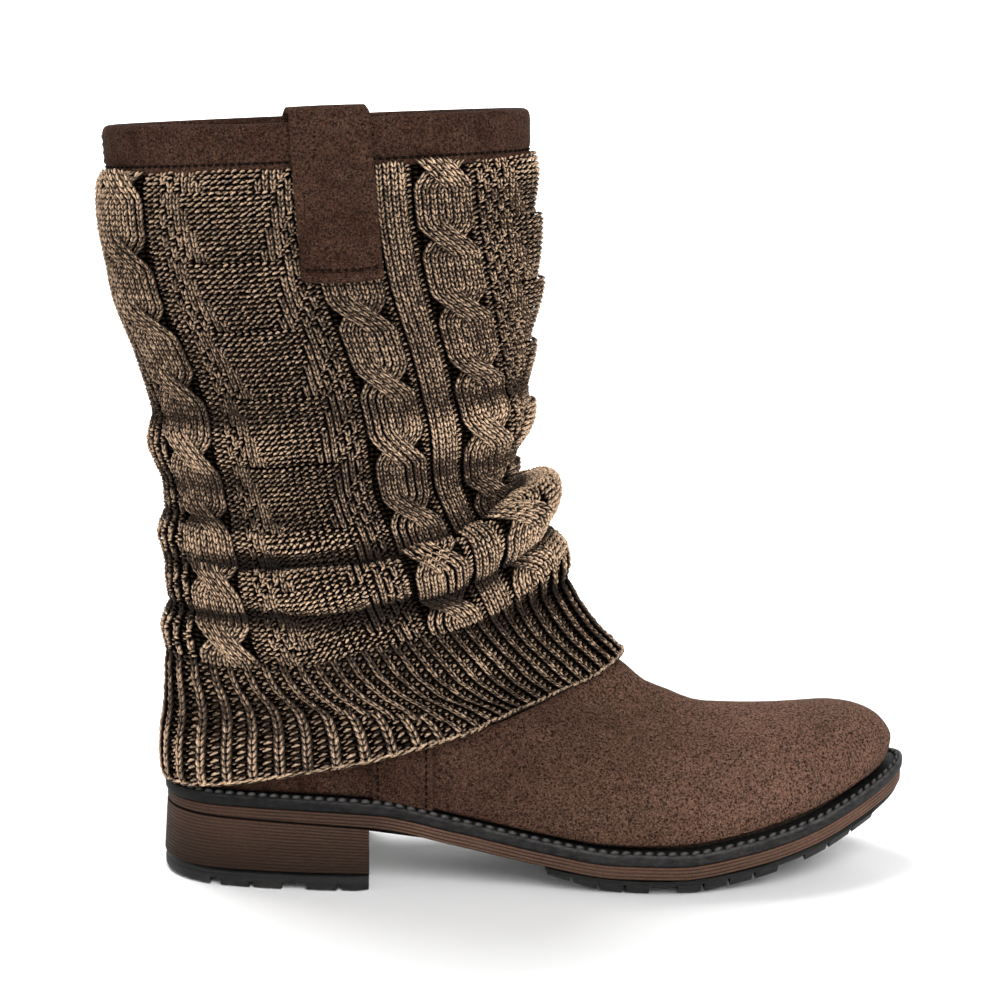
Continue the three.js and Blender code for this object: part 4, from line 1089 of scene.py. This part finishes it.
def knit_sleeve():
    rng = np.random.default_rng(7)
    stand = SLEEVE_WALL - bpy.context.scene.boot_knit.yarn_thickness / MM / 2
    yarn = yarn_material()
    fabric = sleeve_fabric(WALES, COURSES, False, stand)
    wale, course, purl, relief, cable = chart()
    legs = legs_of(wale, course, purl, relief=relief, cable=cable)
    quarters = ["knit_inner_back", "knit_inner_front", "knit_outer_front", "knit_outer_back"]
    for k, name in enumerate(quarters):
        keep = (legs["wale"] >= k * WALES / 4) & (legs["wale"] < (k + 1) * WALES / 4)
        part = {key: value[keep] for key, value in legs.items()}
        settle(lay_yarn(name, fabric, pattern_place, part, rng), "yarn", yarn, "knit_sleeve")
    wale, course = np.meshgrid(np.arange(2 * RIBS) + 0.5, np.arange(RIB_COURSES) + 0.5)
    wale = np.concatenate([wale.ravel(), np.arange(2 * RIBS) + 0.5, np.arange(2 * RIBS) + 1.0])
    course = np.concatenate([course.ravel(), np.full(2 * RIBS, 0.12), np.full(2 * RIBS, 0.28)])
    legs = legs_of(wale, course, (np.mod(np.floor(wale), 2) == 1) | (course < 0.3))
    cuff = sleeve_fabric(2 * RIBS, RIB_COURSES, True, stand)
    settle(lay_yarn("knit_cuff", cuff, rib_place, legs, rng), "yarn", yarn, "knit_sleeve")
    # The backing sheets carry painted shade between the stitches.
    gap_shade = gap_shade_material()
    lay_backing("knit_shade_backing", *main_backing(), gap_shade)
    lay_backing("cuff_shade_backing", *cuff_shade_backing(), gap_shade)


# The foot and shaft.

# Soft creases of the foot: their ends' x and z, half width, and depth. A negative one rises.
CREASES = [
    (186, 76, 158, 52, 5.5, 0.8),
    (180, 79, 150, 56, 6.5, -0.6),
    (208, 72, 186, 50, 6, 0.6),
    (200, 73, 176, 50, 7, -0.5),
    (150, 82, 118, 44, 8, 0.7),
    (136, 60, 112, 38, 6, -0.5),
    (64, 60, 30, 48, 7, 0.7),
    (40, 52, 12, 44, 6, -0.5),
    (118, 40, 190, 33, 5, -0.4),
]


def crease_push(points):
    """How far the creases move points of the foot inwards."""
    push = np.zeros(len(points))
    for x0, z0, x1, z1, half_width, depth in CREASES:
        run = np.array([x1 - x0, z1 - z0], float)
        from_start = points[:, [0, 2]] - (x0, z0)
        share = np.clip(from_start @ run / (run @ run), 0, 1)
        away = np.linalg.norm(from_start - share[:, None] * run, axis=-1)
        fade = np.sin(np.pi * np.clip(share * 0.9 + 0.05, 0, 1)) ** 0.5
        push += depth * fade * np.exp(-(away / half_width) ** 2)
    return push


SKIN_LEVELS = 170
SKIN_AROUND = 241


def outer_skin():
    """The upper's outside as a tree in which the nearest place is looked up."""
    levels, angles = np.linspace(0, TOP, SKIN_LEVELS), np.linspace(0, 2 * np.pi, SKIN_AROUND)
    level, angle = np.meshgrid(levels, angles, indexing="ij")
    index = np.arange(level.size).reshape(level.shape)
    quads = np.stack([index[:-1, :-1], index[1:, :-1], index[1:, 1:], index[:-1, 1:]], axis=-1)
    points = bare_point(level, angle).reshape(-1, 3)
    return BVHTree.FromPolygons(points.tolist(), quads.reshape(-1, 4).tolist())


def faces_out(skin, places, normals):
    """Which places belong to the upper's outside: their normals point away from the foot."""
    near = (skin.find_nearest(Vector(place))[1] for place in places)
    return np.array([away.dot(Vector(normal)) > 0 for away, normal in zip(near, normals)])


TOE_AHEAD = 2.1
TOE_UP = 1.8


def toe_growth(points):
    """The toe box stands a little fuller than its solid."""
    above = points[:, 2] - welt_top(points[:, 0])
    ahead = np.clip((points[:, 0] - 222) / 45, 0, 1) * np.clip((above - 0.5) / 9, 0, 1)
    up = np.clip((points[:, 0] - 195) / 50, 0, 1) * np.clip((above - 3) / 15, 0, 1)
    return np.stack([TOE_AHEAD * ahead, 0 * up, TOE_UP * up], axis=-1)


# How far the lining sinks, so that no part of it comes through the wall's flat faces.
LINING_SINK = 1.3


def suede_foot(suede, lining):
    piece = copy_of("upper", "upper_suede")
    round_off(piece, 2)
    points, normals = points_of(piece), normals_of(piece)
    mesh = piece.data
    centres, facing = (np.empty(3 * len(mesh.polygons), np.float32) for _ in range(2))
    mesh.polygons.foreach_get("center", centres)
    mesh.polygons.foreach_get("normal", facing)
    centres = centres.reshape(-1, 3) / MM + (HEEL_REST, 0, 0)
    skin = outer_skin()
    outside = faces_out(skin, centres, facing.reshape(-1, 3))
    outward = faces_out(skin, points, normals)
    push = np.where(points[:, 2] < 130, crease_push(points), 0)
    sink = LINING_SINK * np.clip((240 - points[:, 2]) / 25, 0, 1)
    moved = points + normals * np.where(outward, -push, push + sink)[:, None]
    move_points(piece, moved + toe_growth(points))
    # The low attribute is a painted shadow line: the suede goes near black in its last 2 to 3 mm
    # above the welt.
    above = np.clip((points[:, 2] - welt_top(points[:, 0])) / 12, 0, 1)
    point_attribute(piece, "low", 1 - above)
    settle(piece, "suede", suede, "upper")
    mesh.materials.append(lining)
    mesh.polygons.foreach_set("material_index", (~outside).astype(np.int32))


def side_strip(suede):
    piece = copy_of("side_strip", "side_strip_suede")
    round_off(piece, 3, hold=0.5)
    point_attribute(piece, "low", np.zeros(len(piece.data.vertices)))
    settle(piece, "suede", suede, "side_strip")


# The sole.

WELT_AROUND = 260
GROOVE_INSET = 2.3
# Inset from the outline, rise above the welt's underside, and wear, round its section.
WELT_PROFILE = [
    (WELT_RIM, 0, 0.1), (1.1, 0, 0.1), (0.4, 0.25, 0.1), (0.05, 0.9, 0.35), (0, 2.2, 0.35),
    (0, 3.2, 0.35), (0.25, 3.95, 1), (0.8, 4.35, 1), (1.3, 4.3, 1), (1.7, 3.85, 0.1),
    (GROOVE_INSET, 3.7, 0.1), (2.9, 3.85, 0.1), (3.4, 4.25, 0.1), (4.4, 4.4, 0.1),
    (WELT_RIM, 4.4, 0.1),
]


def welt(paint):
    angles = np.linspace(0, 2 * np.pi, WELT_AROUND, endpoint=False)
    rings = []
    for inset, rise, _ in WELT_PROFILE:
        flat = inset_point(angles, inset)
        height = welt_top(flat[:, 0]) - WELT_THICKNESS + rise
        rings.append(np.concatenate([flat, height[:, None]], axis=-1))
    piece = tube_piece("welt_rubber", np.array(rings))
    bpy.ops.object.shade_smooth_by_angle(angle=1.0)
    point_attribute(piece, "edge", np.repeat([wear for _, _, wear in WELT_PROFILE], WELT_AROUND))
    settle(piece, "welt", paint, "welt")


HEEL_LENGTH = 77.5
HEEL_TURN = 2.5
HEEL_FLARE = 0.8
HEEL_AROUND = 150
HEEL_FOOT = 6.7
HEEL_ROWS = 60
MIDSOLE_THICKNESS = 4.7
MIDSOLE_TAPER = 1.3
LAYER = 1.3
# Share of the midsole's height and inset from the outline, up its side.
MIDSOLE_PROFILE = [
    (0, 1.9), (0, 1.0), (0.1, 0.75), (0.3, 0.7), (0.6, 0.7), (0.85, 0.75), (0.97, 1.0), (1, 1.9),
]
MIDSOLE_AROUND = 300


def midsole_bottom(x):
    """The midsole is thinner over the heel's back."""
    thin = MIDSOLE_TAPER * np.clip(1 - x / HEEL_LENGTH, 0, 1)
    return welt_top(x) - WELT_THICKNESS - FIT - MIDSOLE_THICKNESS + thin


def midsole(brown):
    angles = np.linspace(0, 2 * np.pi, MIDSOLE_AROUND, endpoint=False)
    rings, layers = [], []
    for share, inset in MIDSOLE_PROFILE:
        flat = inset_point(angles, inset)
        bottom, top = midsole_bottom(flat[:, 0]), welt_top(flat[:, 0]) - WELT_THICKNESS - 0.05
        rings.append(np.concatenate([flat, mix(bottom, top, share)[:, None]], axis=-1))
        layers.append((rings[-1][:, 2] - top) / LAYER)
    piece = tube_piece("midsole_brown", np.array(rings), closed=False)
    bpy.ops.object.shade_smooth_by_angle(angle=0.9)
    point_attribute(piece, "layer", np.array(layers))
    # Painted shade on the midsole's inset rows at its foot and under the welt.
    groove_shade = np.zeros((len(MIDSOLE_PROFILE), MIDSOLE_AROUND))
    groove_shade[:2] = 0.8
    groove_shade[-1] = 1
    point_attribute(piece, "groove_shade", groove_shade)
    settle(piece, "midsole", brown, "midsole")


def heel_loop(spread):
    """The heel's outline seen from above: round the back, then straight along the breast."""
    reach = float(np.arccos(1 - 2 * HEEL_LENGTH / LENGTH))
    back = inset_point(np.linspace(-reach, reach, HEEL_AROUND - 11), -spread)
    side = np.clip(0.5 + back[:, 1] / HEEL_WIDTH, 0, 1)
    back[:, 0] -= HEEL_TURN * side * np.clip(back[:, 0] / HEEL_LENGTH, 0, 1) ** 3
    share = np.linspace(0, 1, 13)[1:-1, None]
    return np.concatenate([back, mix(back[-1], back[0], share)])


def heel_stack(brown):
    rows = [(0.0, 0.5), (0.012, 0.12)] + [(s, 0.0) for s in np.linspace(0.03, 0.955, HEEL_ROWS)]
    rows += [(0.965, 0.1), (0.972, 0.75), (0.99, 0.8), (1.0, 0.8)]
    rings, layers = [], []
    for share, depth in rows:
        flat = heel_loop(mix(HEEL_FLARE, -0.6, share) - depth)
        top = midsole_bottom(flat[:, 0]) - 0.1
        rings.append(np.concatenate([flat, mix(HEEL_FOOT, top, share)[:, None]], axis=-1))
        layers.append(np.full(HEEL_AROUND, share * 20 / LAYER))
    piece = tube_piece("heel_stack", np.array(rings), closed=False)
    bpy.ops.object.shade_smooth_by_angle(angle=0.7)
    point_attribute(piece, "layer", np.array(layers))
    # Painted shade on the heel's inset rows at its foot and top.
    deep = [float(depth > 0.3) for _, depth in rows]
    point_attribute(piece, "groove_shade", np.repeat(deep, HEEL_AROUND))
    settle(piece, "midsole", brown, "heel_block")


def treads(paint):
    for node, name in [("top_lift", "heel_lift"), ("outsole", "forefoot_tread")]:
        piece = copy_of(node, name)
        round_off(piece, 1, 0.5, 0.85)
        bpy.ops.object.shade_smooth_by_angle(angle=0.7)
        settle(piece, "tread", paint, node)


# Collar band and pull strap.

BAND_AROUND = 220
BAND_SEAM_DROP = 12.6
BAND_SAG = 1.1
BAND_SAG_AT = 4.95
# Drop below the rim and distance outside the upper, round the band's section.
BAND_PROFILE = [
    (15.1, 0.35), (15.5, 0.9), (15.6, 1.7), (15.2, 2.4), (14.4, 2.65), (13.5, 2.35), (12.9, 1.8),
    (12.5, 1.55), (12.1, 1.8), (11.4, 2.2), (9.5, 2.35), (6, 2.3), (2.5, 2.3), (0.5, 2.15),
    (-0.7, 1.8), (-1.6, 1.1), (-2, 0.1), (-2.1, -1.1), (-1.95, -2.2), (-1.4, -3.2), (-0.5, -3.8),
    (1, -4.1), (5, -4.1), (8.2, -4.1), (9, -3.7), (9.1, -3), (8.8, -2.5), (4, -2.5), (-0.3, -2.5),
    (-0.3, 0.3), (5, 0.3), (12, 0.3),
]


def waver(angle, seed, size):
    """A small unevenness round the collar."""
    rng = np.random.default_rng(seed)
    out = np.zeros(np.shape(angle))
    for turns in (2, 3, 5, 9, 14, 23):
        out += rng.normal() * np.sin(turns * angle + rng.random() * 6.28) / turns ** 0.5
    return out * size


def collar_band(suede):
    angles = np.linspace(0, 2 * np.pi, BAND_AROUND, endpoint=False)
    rings = []
    for drop, out in BAND_PROFILE:
        lip = max(drop - 12.5, 0) / 3
        uneven = waver(angles, 3, 0.3) * lip
        soft = waver(angles, 5, 0.1) if out > 1 else 0
        seam_dent = -0.5 * np.exp(-(np.sin(angles / 2) / 0.012) ** 2) if out > 1 else 0
        sag = BAND_SAG * np.exp(-((angles - BAND_SAG_AT) / 0.45) ** 2) * (drop < 5)
        rings.append(ring_point(angles, drop + uneven + sag, out + soft + seam_dent))
    piece = tube_piece("collar_band_suede", np.array(rings))
    bpy.ops.object.shade_smooth_by_angle(angle=1.2)
    # Painted shade: the suede is darkened in the band's seam groove.
    seam_groove_shade = [0.86 * (12 < drop < 13) for drop, _ in BAND_PROFILE]
    point_attribute(piece, "low", np.repeat(seam_groove_shade, BAND_AROUND))
    settle(piece, "suede", suede, "collar_band")


# The strap's route from its outer end over the collar and down inside: drop below the rim and
# distance outside the upper, both of its inner face.
ON_KNIT = SLEEVE_EASE + SLEEVE_WALL + 2 * FIT
ON_BAND = 2.6
IN_BAND = -4.4
IN_LINING = -WALL - 4 * FIT
CROWN = -4.3
STRAP_ROUTE = [
    (STRAP_DROP, ON_KNIT + STRAP_LIFT), (0.8 * STRAP_DROP, ON_KNIT + 0.7 * STRAP_LIFT),
    (0.6 * STRAP_DROP, ON_KNIT + FIT), (0.4 * STRAP_DROP, ON_KNIT + FIT),
    (1.07 * BAND_HEIGHT, ON_KNIT + FIT), (0.6 * BAND_HEIGHT, mix(ON_KNIT, ON_BAND, 0.6)),
    (0.25 * BAND_HEIGHT, ON_BAND), (-1.6, ON_BAND), (0.78 * CROWN, mix(ON_BAND, IN_BAND, 0.12)),
    (CROWN, mix(ON_BAND, IN_BAND, 0.35)), (CROWN, mix(ON_BAND, IN_BAND, 0.65)),
    (0.78 * CROWN, mix(ON_BAND, IN_BAND, 0.88)), (-1.6, IN_BAND), (BAND_INSIDE, IN_BAND),
    (1.45 * BAND_INSIDE, mix(IN_BAND, IN_LINING, 0.6)),
    (0.5 * (BAND_INSIDE + STRAP_INSIDE), IN_LINING), (STRAP_INSIDE, IN_LINING),
]
STRAP_STEPS = 110
STRAP_ACROSS = 15
STRAP_HEM = 3.4
STRAP_SKEW = 5


def strap_line():
    """Even stations along the strap's route, how far along each is, and the way it faces."""
    route = np.array(STRAP_ROUTE, float)
    walked = np.concatenate([[0], np.cumsum(np.linalg.norm(np.diff(route, axis=0), axis=-1))])
    at = np.linspace(0, walked[-1], STRAP_STEPS)
    line = np.stack([Curve(walked, route[:, k])(at) for k in range(2)], axis=-1)
    run = unit(np.gradient(line, axis=0))
    return at, line, np.stack([run[:, 1], -run[:, 0]], axis=-1)


def strap_point(drop, out, place, at):
    """A point of the strap at a share of its width, where at is how far along it is."""
    lean = STRAP_LEAN * np.clip(drop / STRAP_DROP, 0, 1) * (at < 70)
    skew = STRAP_SKEW * np.clip((at - 58) / 10, 0, 1)
    x = STRAP_CENTRE + lean - skew + STRAP_WIDTH * (place - 0.5)
    level = np.full(np.shape(x), float(TOP))
    rim = bare_point(level, side_angle(level, x))[..., 2]
    return side_point(x, rim - drop, out)


def strap_surface(place, rise):
    """Points of the strap at shares of its width, at a height above its inner face."""
    at, line, facing = strap_line()
    hem = np.clip((STRAP_HEM - at) / 0.5, 0, 1) * np.clip(at / 0.8 + 0.4, 0, 1)
    dent = np.exp(-((at - STRAP_HEM - 0.5) / 0.7) ** 2)
    grow = 1 + 0.55 * hem - 0.35 * dent
    crown = 1 + 0.1 * (1 - (2 * place - 1) ** 2)
    bow = (4.2 * (place - 0.35) ** 2 - 1.2 * (place - 0.5)) * np.clip(1 - at / 30, 0, 1)
    out = line[:, 1] + facing[:, 1] * rise * STRAP_THICKNESS * grow * crown
    drop = line[:, 0] + facing[:, 0] * rise * STRAP_THICKNESS * grow * crown - bow
    return strap_point(drop, out, np.full(len(at), float(place)), at)


def pull_strap(suede):
    places = np.sin(np.linspace(-0.5, 0.5, STRAP_ACROSS) * np.pi) * 0.5 + 0.5
    section = [(place, 1.0) for place in places[1:-1]]
    section += [(1.0, 0.72), (1.0, 0.3)] + [(place, 0.0) for place in places[-2:0:-1]]
    section += [(0.0, 0.3), (0.0, 0.72)]
    rings = np.stack([strap_surface(place, rise) for place, rise in section], axis=1)
    piece = tube_piece("pull_strap_suede", rings, closed=False)
    bpy.ops.object.shade_smooth_by_angle(angle=1.2)
    # Painted shade: the suede is darkened in the dent along the strap's hem.
    seam_groove_shade = 0.95 * np.exp(-((strap_line()[0] - STRAP_HEM - 0.6) / 0.7) ** 4)
    point_attribute(piece, "low", np.repeat(seam_groove_shade, len(section)))
    settle(piece, "suede", suede, "pull_strap")


# Stitches.

def welt_seam():
    angles = np.linspace(0, 2 * np.pi, 1201)
    flat = inset_point(angles, GROOVE_INSET)
    points = np.concatenate([flat, welt_top(flat[:, 0:1]) + 0.05], axis=-1)
    return seam(points, (0, 0, 1), 4.2, (3.8, 1.6, 1.9))


def band_seams():
    angles = np.linspace(0, 2 * np.pi, 801)
    low = ring_point(angles, np.full(801, BAND_SEAM_DROP), np.full(801, 2.0))
    level = np.full(801, float(TOP))
    seams = [seam(low, upper_normal(level, angles), 2.7, (1.8, 1.05, 1.0))]
    drops = np.linspace(0.5, 12, 30)
    for side in (-0.085, 0.085):
        angle = np.full(30, side)
        normal = upper_normal(np.full(30, float(TOP)), angle)
        down = ring_point(angle, drops, np.full(30, 2.4))
        seams.append(seam(down, normal, 2.4, (1.6, 0.5, 0.5)))
    return seams


def strap_seam():
    at = strap_line()[0]
    k = int(np.searchsorted(at, STRAP_HEM + 0.6))
    places = np.linspace(0.04, 0.96, 24)
    points = np.array([strap_surface(place, 0.95)[k] for place in places])
    normal = upper_normal(np.full(24, TOP - 1.0), side_angle(np.full(24, TOP - 1.0), points[:, 0]))
    return seam(points, normal, 2.6, (1.8, 1.05, 1.0))


def strip_seams():
    seams = []
    for x in (STRIP_FRONT - STRIP_WIDTH + 2, STRIP_FRONT - 2.4):
        z = np.linspace(float(welt_top(x)) + 1.5, float(welt_top(x)) + STRIP_HEIGHT - 4, 40)
        points = side_point(np.full(40, x), z, np.full(40, STRIP_STAND + 0.25))
        level = level_at(np.full(40, float(side_angle(2.0, x))), z)
        normal = upper_normal(level, side_angle(level, np.full(40, x)))
        seams.append(seam(points, normal, 2.5, (1.8, 0.95, 0.9)))
    return seams


def stitches():
    rng = np.random.default_rng(11)
    black = thread_material("black_thread", (0.004, 0.0035, 0.0035), (0.1, 0.096, 0.092))
    brown = thread_material("brown_thread", (0.001, 0.0008, 0.0008), (0.006, 0.004, 0.003))
    settle(thread_piece("welt_stitches", [welt_seam()], rng), "welt", black)
    settle(thread_piece("band_stitches", band_seams(), rng), "suede", brown)
    settle(thread_piece("strap_stitches", [strap_seam()], rng), "suede", brown)
    settle(thread_piece("strip_stitches", strip_seams(), rng), "suede", brown)


# Stage.

CAMERA_PLACE = (0.06982, -0.89296, 0.2963)
CAMERA_AIM = (0.0879, 0, 0.1383)
CAMERA_LENS = 88.092
# Soft suns: where each stands, how wide it is in radians, and its strength.
LAMPS = [
    ("overhead", (-0.3, 0.45, 1), 0.6, 2.3),
    ("front", (0.3, -1, 0.9), 0.6, 2.1),
    ("back", (0.2, 1, 0.45), 0.5, 0.9),
]


def studio():
    look = bpy.context.scene.boot_stage
    bpy.ops.mesh.primitive_plane_add(size=24, location=(0, 0, 0))
    floor = bpy.context.object
    floor.name = "floor"
    floor.data.materials.append(floor_material())
    bpy.ops.mesh.primitive_cylinder_add(
        vertices=96, radius=7, depth=1.8, end_fill_type="NOTHING", location=(0, 0, 0.9)
    )
    backdrop = bpy.context.object
    backdrop.name = "backdrop"
    lit = Paint("lit_backdrop", emission_color=(1, 1, 1, 1), emission_strength=1.0)
    backdrop.data.materials.append(lit.material)
    bpy.ops.object.camera_add(location=CAMERA_PLACE)
    camera = bpy.context.object
    aim = Vector(CAMERA_AIM) - camera.location
    camera.rotation_mode = "QUATERNION"
    camera.rotation_quaternion = aim.to_track_quat("-Z", "Y")
    camera.data.lens = CAMERA_LENS
    camera.data.sensor_width = 36
    camera.data.clip_start = 0.05
    camera.data.clip_end = 50
    bpy.context.scene.camera = camera
    for name, place, width, strength in LAMPS:
        bpy.ops.object.light_add(type="SUN", location=place)
        lamp = bpy.context.object
        lamp.name = name
        lamp.data.angle = width
        lamp.data.energy = strength * look.lamp_share
        lamp.rotation_mode = "QUATERNION"
        lamp.rotation_quaternion = (-lamp.location).to_track_quat("-Z", "Y")
    world = bpy.data.worlds.new("studio")
    bpy.context.scene.world = world
    world.use_nodes = True
    background = world.node_tree.nodes["Background"]
    background.inputs["Color"].default_value = (1, 1, 1, 1)
    background.inputs["Strength"].default_value = look.sky_strength
    bpy.context.scene.view_settings.view_transform = "Standard"


# The add-on: what a user may change, and one operator for each piece or group.

def colour_setting(name, description, default):
    return bpy.props.FloatVectorProperty(
        name=name, description=description, subtype="COLOR", size=3, min=0, max=1, default=default
    )


def length_setting(name, description, default):
    return bpy.props.FloatProperty(
        name=name, description=description, unit="LENGTH", default=default
    )


class BootKnit(bpy.types.PropertyGroup):
    yarn_thickness: length_setting("Yarn thickness", "Thickness of the knitted yarn", 0.0013)
    cable_relief: length_setting("Cable relief", "How far a cable's strand stands out", 0.0022)
    light_ply: colour_setting("Light ply", "Colour of the yarn's light ply", (0.84, 0.58, 0.385))
    dark_ply: colour_setting("Dark ply", "Colour of the yarn's dark ply", (0.045, 0.0275, 0.018))


class BootSuede(bpy.types.PropertyGroup):
    colour: colour_setting("Colour", "Main colour of the suede", (0.15, 0.079, 0.055))
    # The shadow colour is the dark end of the suede's own patches and also of its painted shade
    # towards the back.
    shadow: colour_setting("Shadow", "Colour of the suede's darker patches", (0.019, 0.0072, 0.004))
    fleck: colour_setting("Fleck", "Colour of the nap's light flecks", (0.24, 0.145, 0.1))


class BootSole(bpy.types.PropertyGroup):
    welt: colour_setting("Welt", "Colour of the welt", (0.0035, 0.0032, 0.0032))
    sole: colour_setting("Midsole", "Colour of the midsole", (0.145, 0.08, 0.056))
    heel: colour_setting("Heel", "Colour of the heel near the floor", (0.022, 0.0125, 0.0082))
    dark_line: colour_setting("Dark line", "Colour of its dark layers", (0.008, 0.005, 0.004))
    light_line: colour_setting("Light line", "Colour of its light layers", (0.11, 0.068, 0.048))
    tread: colour_setting("Tread", "Colour of the tread and the top lift", (0.0035, 0.0034, 0.0034))


class BootStage(bpy.types.PropertyGroup):
    floor: colour_setting("Floor", "Colour of the floor", (0.99, 0.99, 0.99))
    sky_strength: bpy.props.FloatProperty(
        name="Sky strength", description="Strength of the light all round", min=0, default=0.35
    )
    lamp_share: bpy.props.FloatProperty(
        name="Lamps", description="Share of the lamps' power", subtype="FACTOR", min=0, default=1.0
    )


class BOOT_OT_stage(bpy.types.Operator):
    """Adds the floor, the camera and the lamps"""
    bl_idname = "boot.stage"
    bl_label = "Stage"

    def execute(self, context):
        deselect_all()
        studio()
        return {"FINISHED"}


class BOOT_OT_upper(bpy.types.Operator):
    """Dresses the foot and shaft in suede, with the strip over the side seam"""
    bl_idname = "boot.upper"
    bl_label = "Upper"

    def execute(self, context):
        suede = suede_material()
        lining = lining_material("shaft_lining", (0.03, 0.018, 0.012), (0.12, 0.078, 0.055))
        suede_foot(suede, lining)
        side_strip(suede)
        return {"FINISHED"}


class BOOT_OT_insole(bpy.types.Operator):
    """Gives the insole its sock of woven cloth"""
    bl_idname = "boot.insole"
    bl_label = "Insole"

    def execute(self, context):
        sock = lining_material("sock_cloth", (0.025, 0.016, 0.012), (0.1, 0.068, 0.05))
        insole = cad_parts["insole"]
        insole.data.materials.clear()
        insole.data.materials.append(sock)
        return {"FINISHED"}


class BOOT_OT_sole(bpy.types.Operator):
    """Makes the welt, the midsole, the heel and the treads"""
    bl_idname = "boot.sole"
    bl_label = "Sole"

    def execute(self, context):
        welt(welt_material())
        brown = sole_material()
        midsole(brown)
        heel_stack(brown)
        treads(tread_material())
        return {"FINISHED"}


class BOOT_OT_knit(bpy.types.Operator):
    """Knits the sleeve, stitch by stitch, with its ribbed cuff and its backing"""
    bl_idname = "boot.knit"
    bl_label = "Knit sleeve"

    def execute(self, context):
        knit_sleeve()
        return {"FINISHED"}


class BOOT_OT_collar(bpy.types.Operator):
    """Makes the collar band and the pull strap"""
    bl_idname = "boot.collar"
    bl_label = "Collar"

    def execute(self, context):
        suede = bpy.data.materials["napped_suede"]
        collar_band(suede)
        pull_strap(suede)
        return {"FINISHED"}


class BOOT_OT_stitches(bpy.types.Operator):
    """Sews the welt, the collar band, the pull strap and the side strip"""
    bl_idname = "boot.stitches"
    bl_label = "Stitches"

    def execute(self, context):
        stitches()
        return {"FINISHED"}


STEPS = [
    BOOT_OT_stage, BOOT_OT_upper, BOOT_OT_insole, BOOT_OT_sole,
    BOOT_OT_knit, BOOT_OT_collar, BOOT_OT_stitches,
]
GROUPS = {
    "boot_knit": BootKnit, "boot_suede": BootSuede, "boot_sole": BootSole, "boot_stage": BootStage,
}


class BOOT_PT_panel(bpy.types.Panel):
    """Lists the boot's pieces and settings"""
    bl_idname = "BOOT_PT_panel"
    bl_label = "Cable-knit boot"
    bl_space_type = "VIEW_3D"
    bl_region_type = "UI"
    bl_category = "Boot"

    def draw(self, context):
        for name, group in GROUPS.items():
            settings = getattr(context.scene, name)
            for key in group.__annotations__:
                self.layout.prop(settings, key)
        for step in STEPS:
            self.layout.operator(step.bl_idname)


def register():
    for kind in [*GROUPS.values(), *STEPS, BOOT_PT_panel]:
        bpy.utils.register_class(kind)
    for name, group in GROUPS.items():
        setattr(bpy.types.Scene, name, bpy.props.PointerProperty(type=group))


def unregister():
    for name in GROUPS:
        delattr(bpy.types.Scene, name)
    for kind in reversed([*GROUPS.values(), *STEPS, BOOT_PT_panel]):
        bpy.utils.unregister_class(kind)


def plain(box):
    return [[float(number) for number in corner] for corner in box]


def main():
    register()
    for step in STEPS:
        getattr(bpy.ops.boot, step.bl_idname.split(".")[1])()
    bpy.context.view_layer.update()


if __name__ == "__main__":
    main()
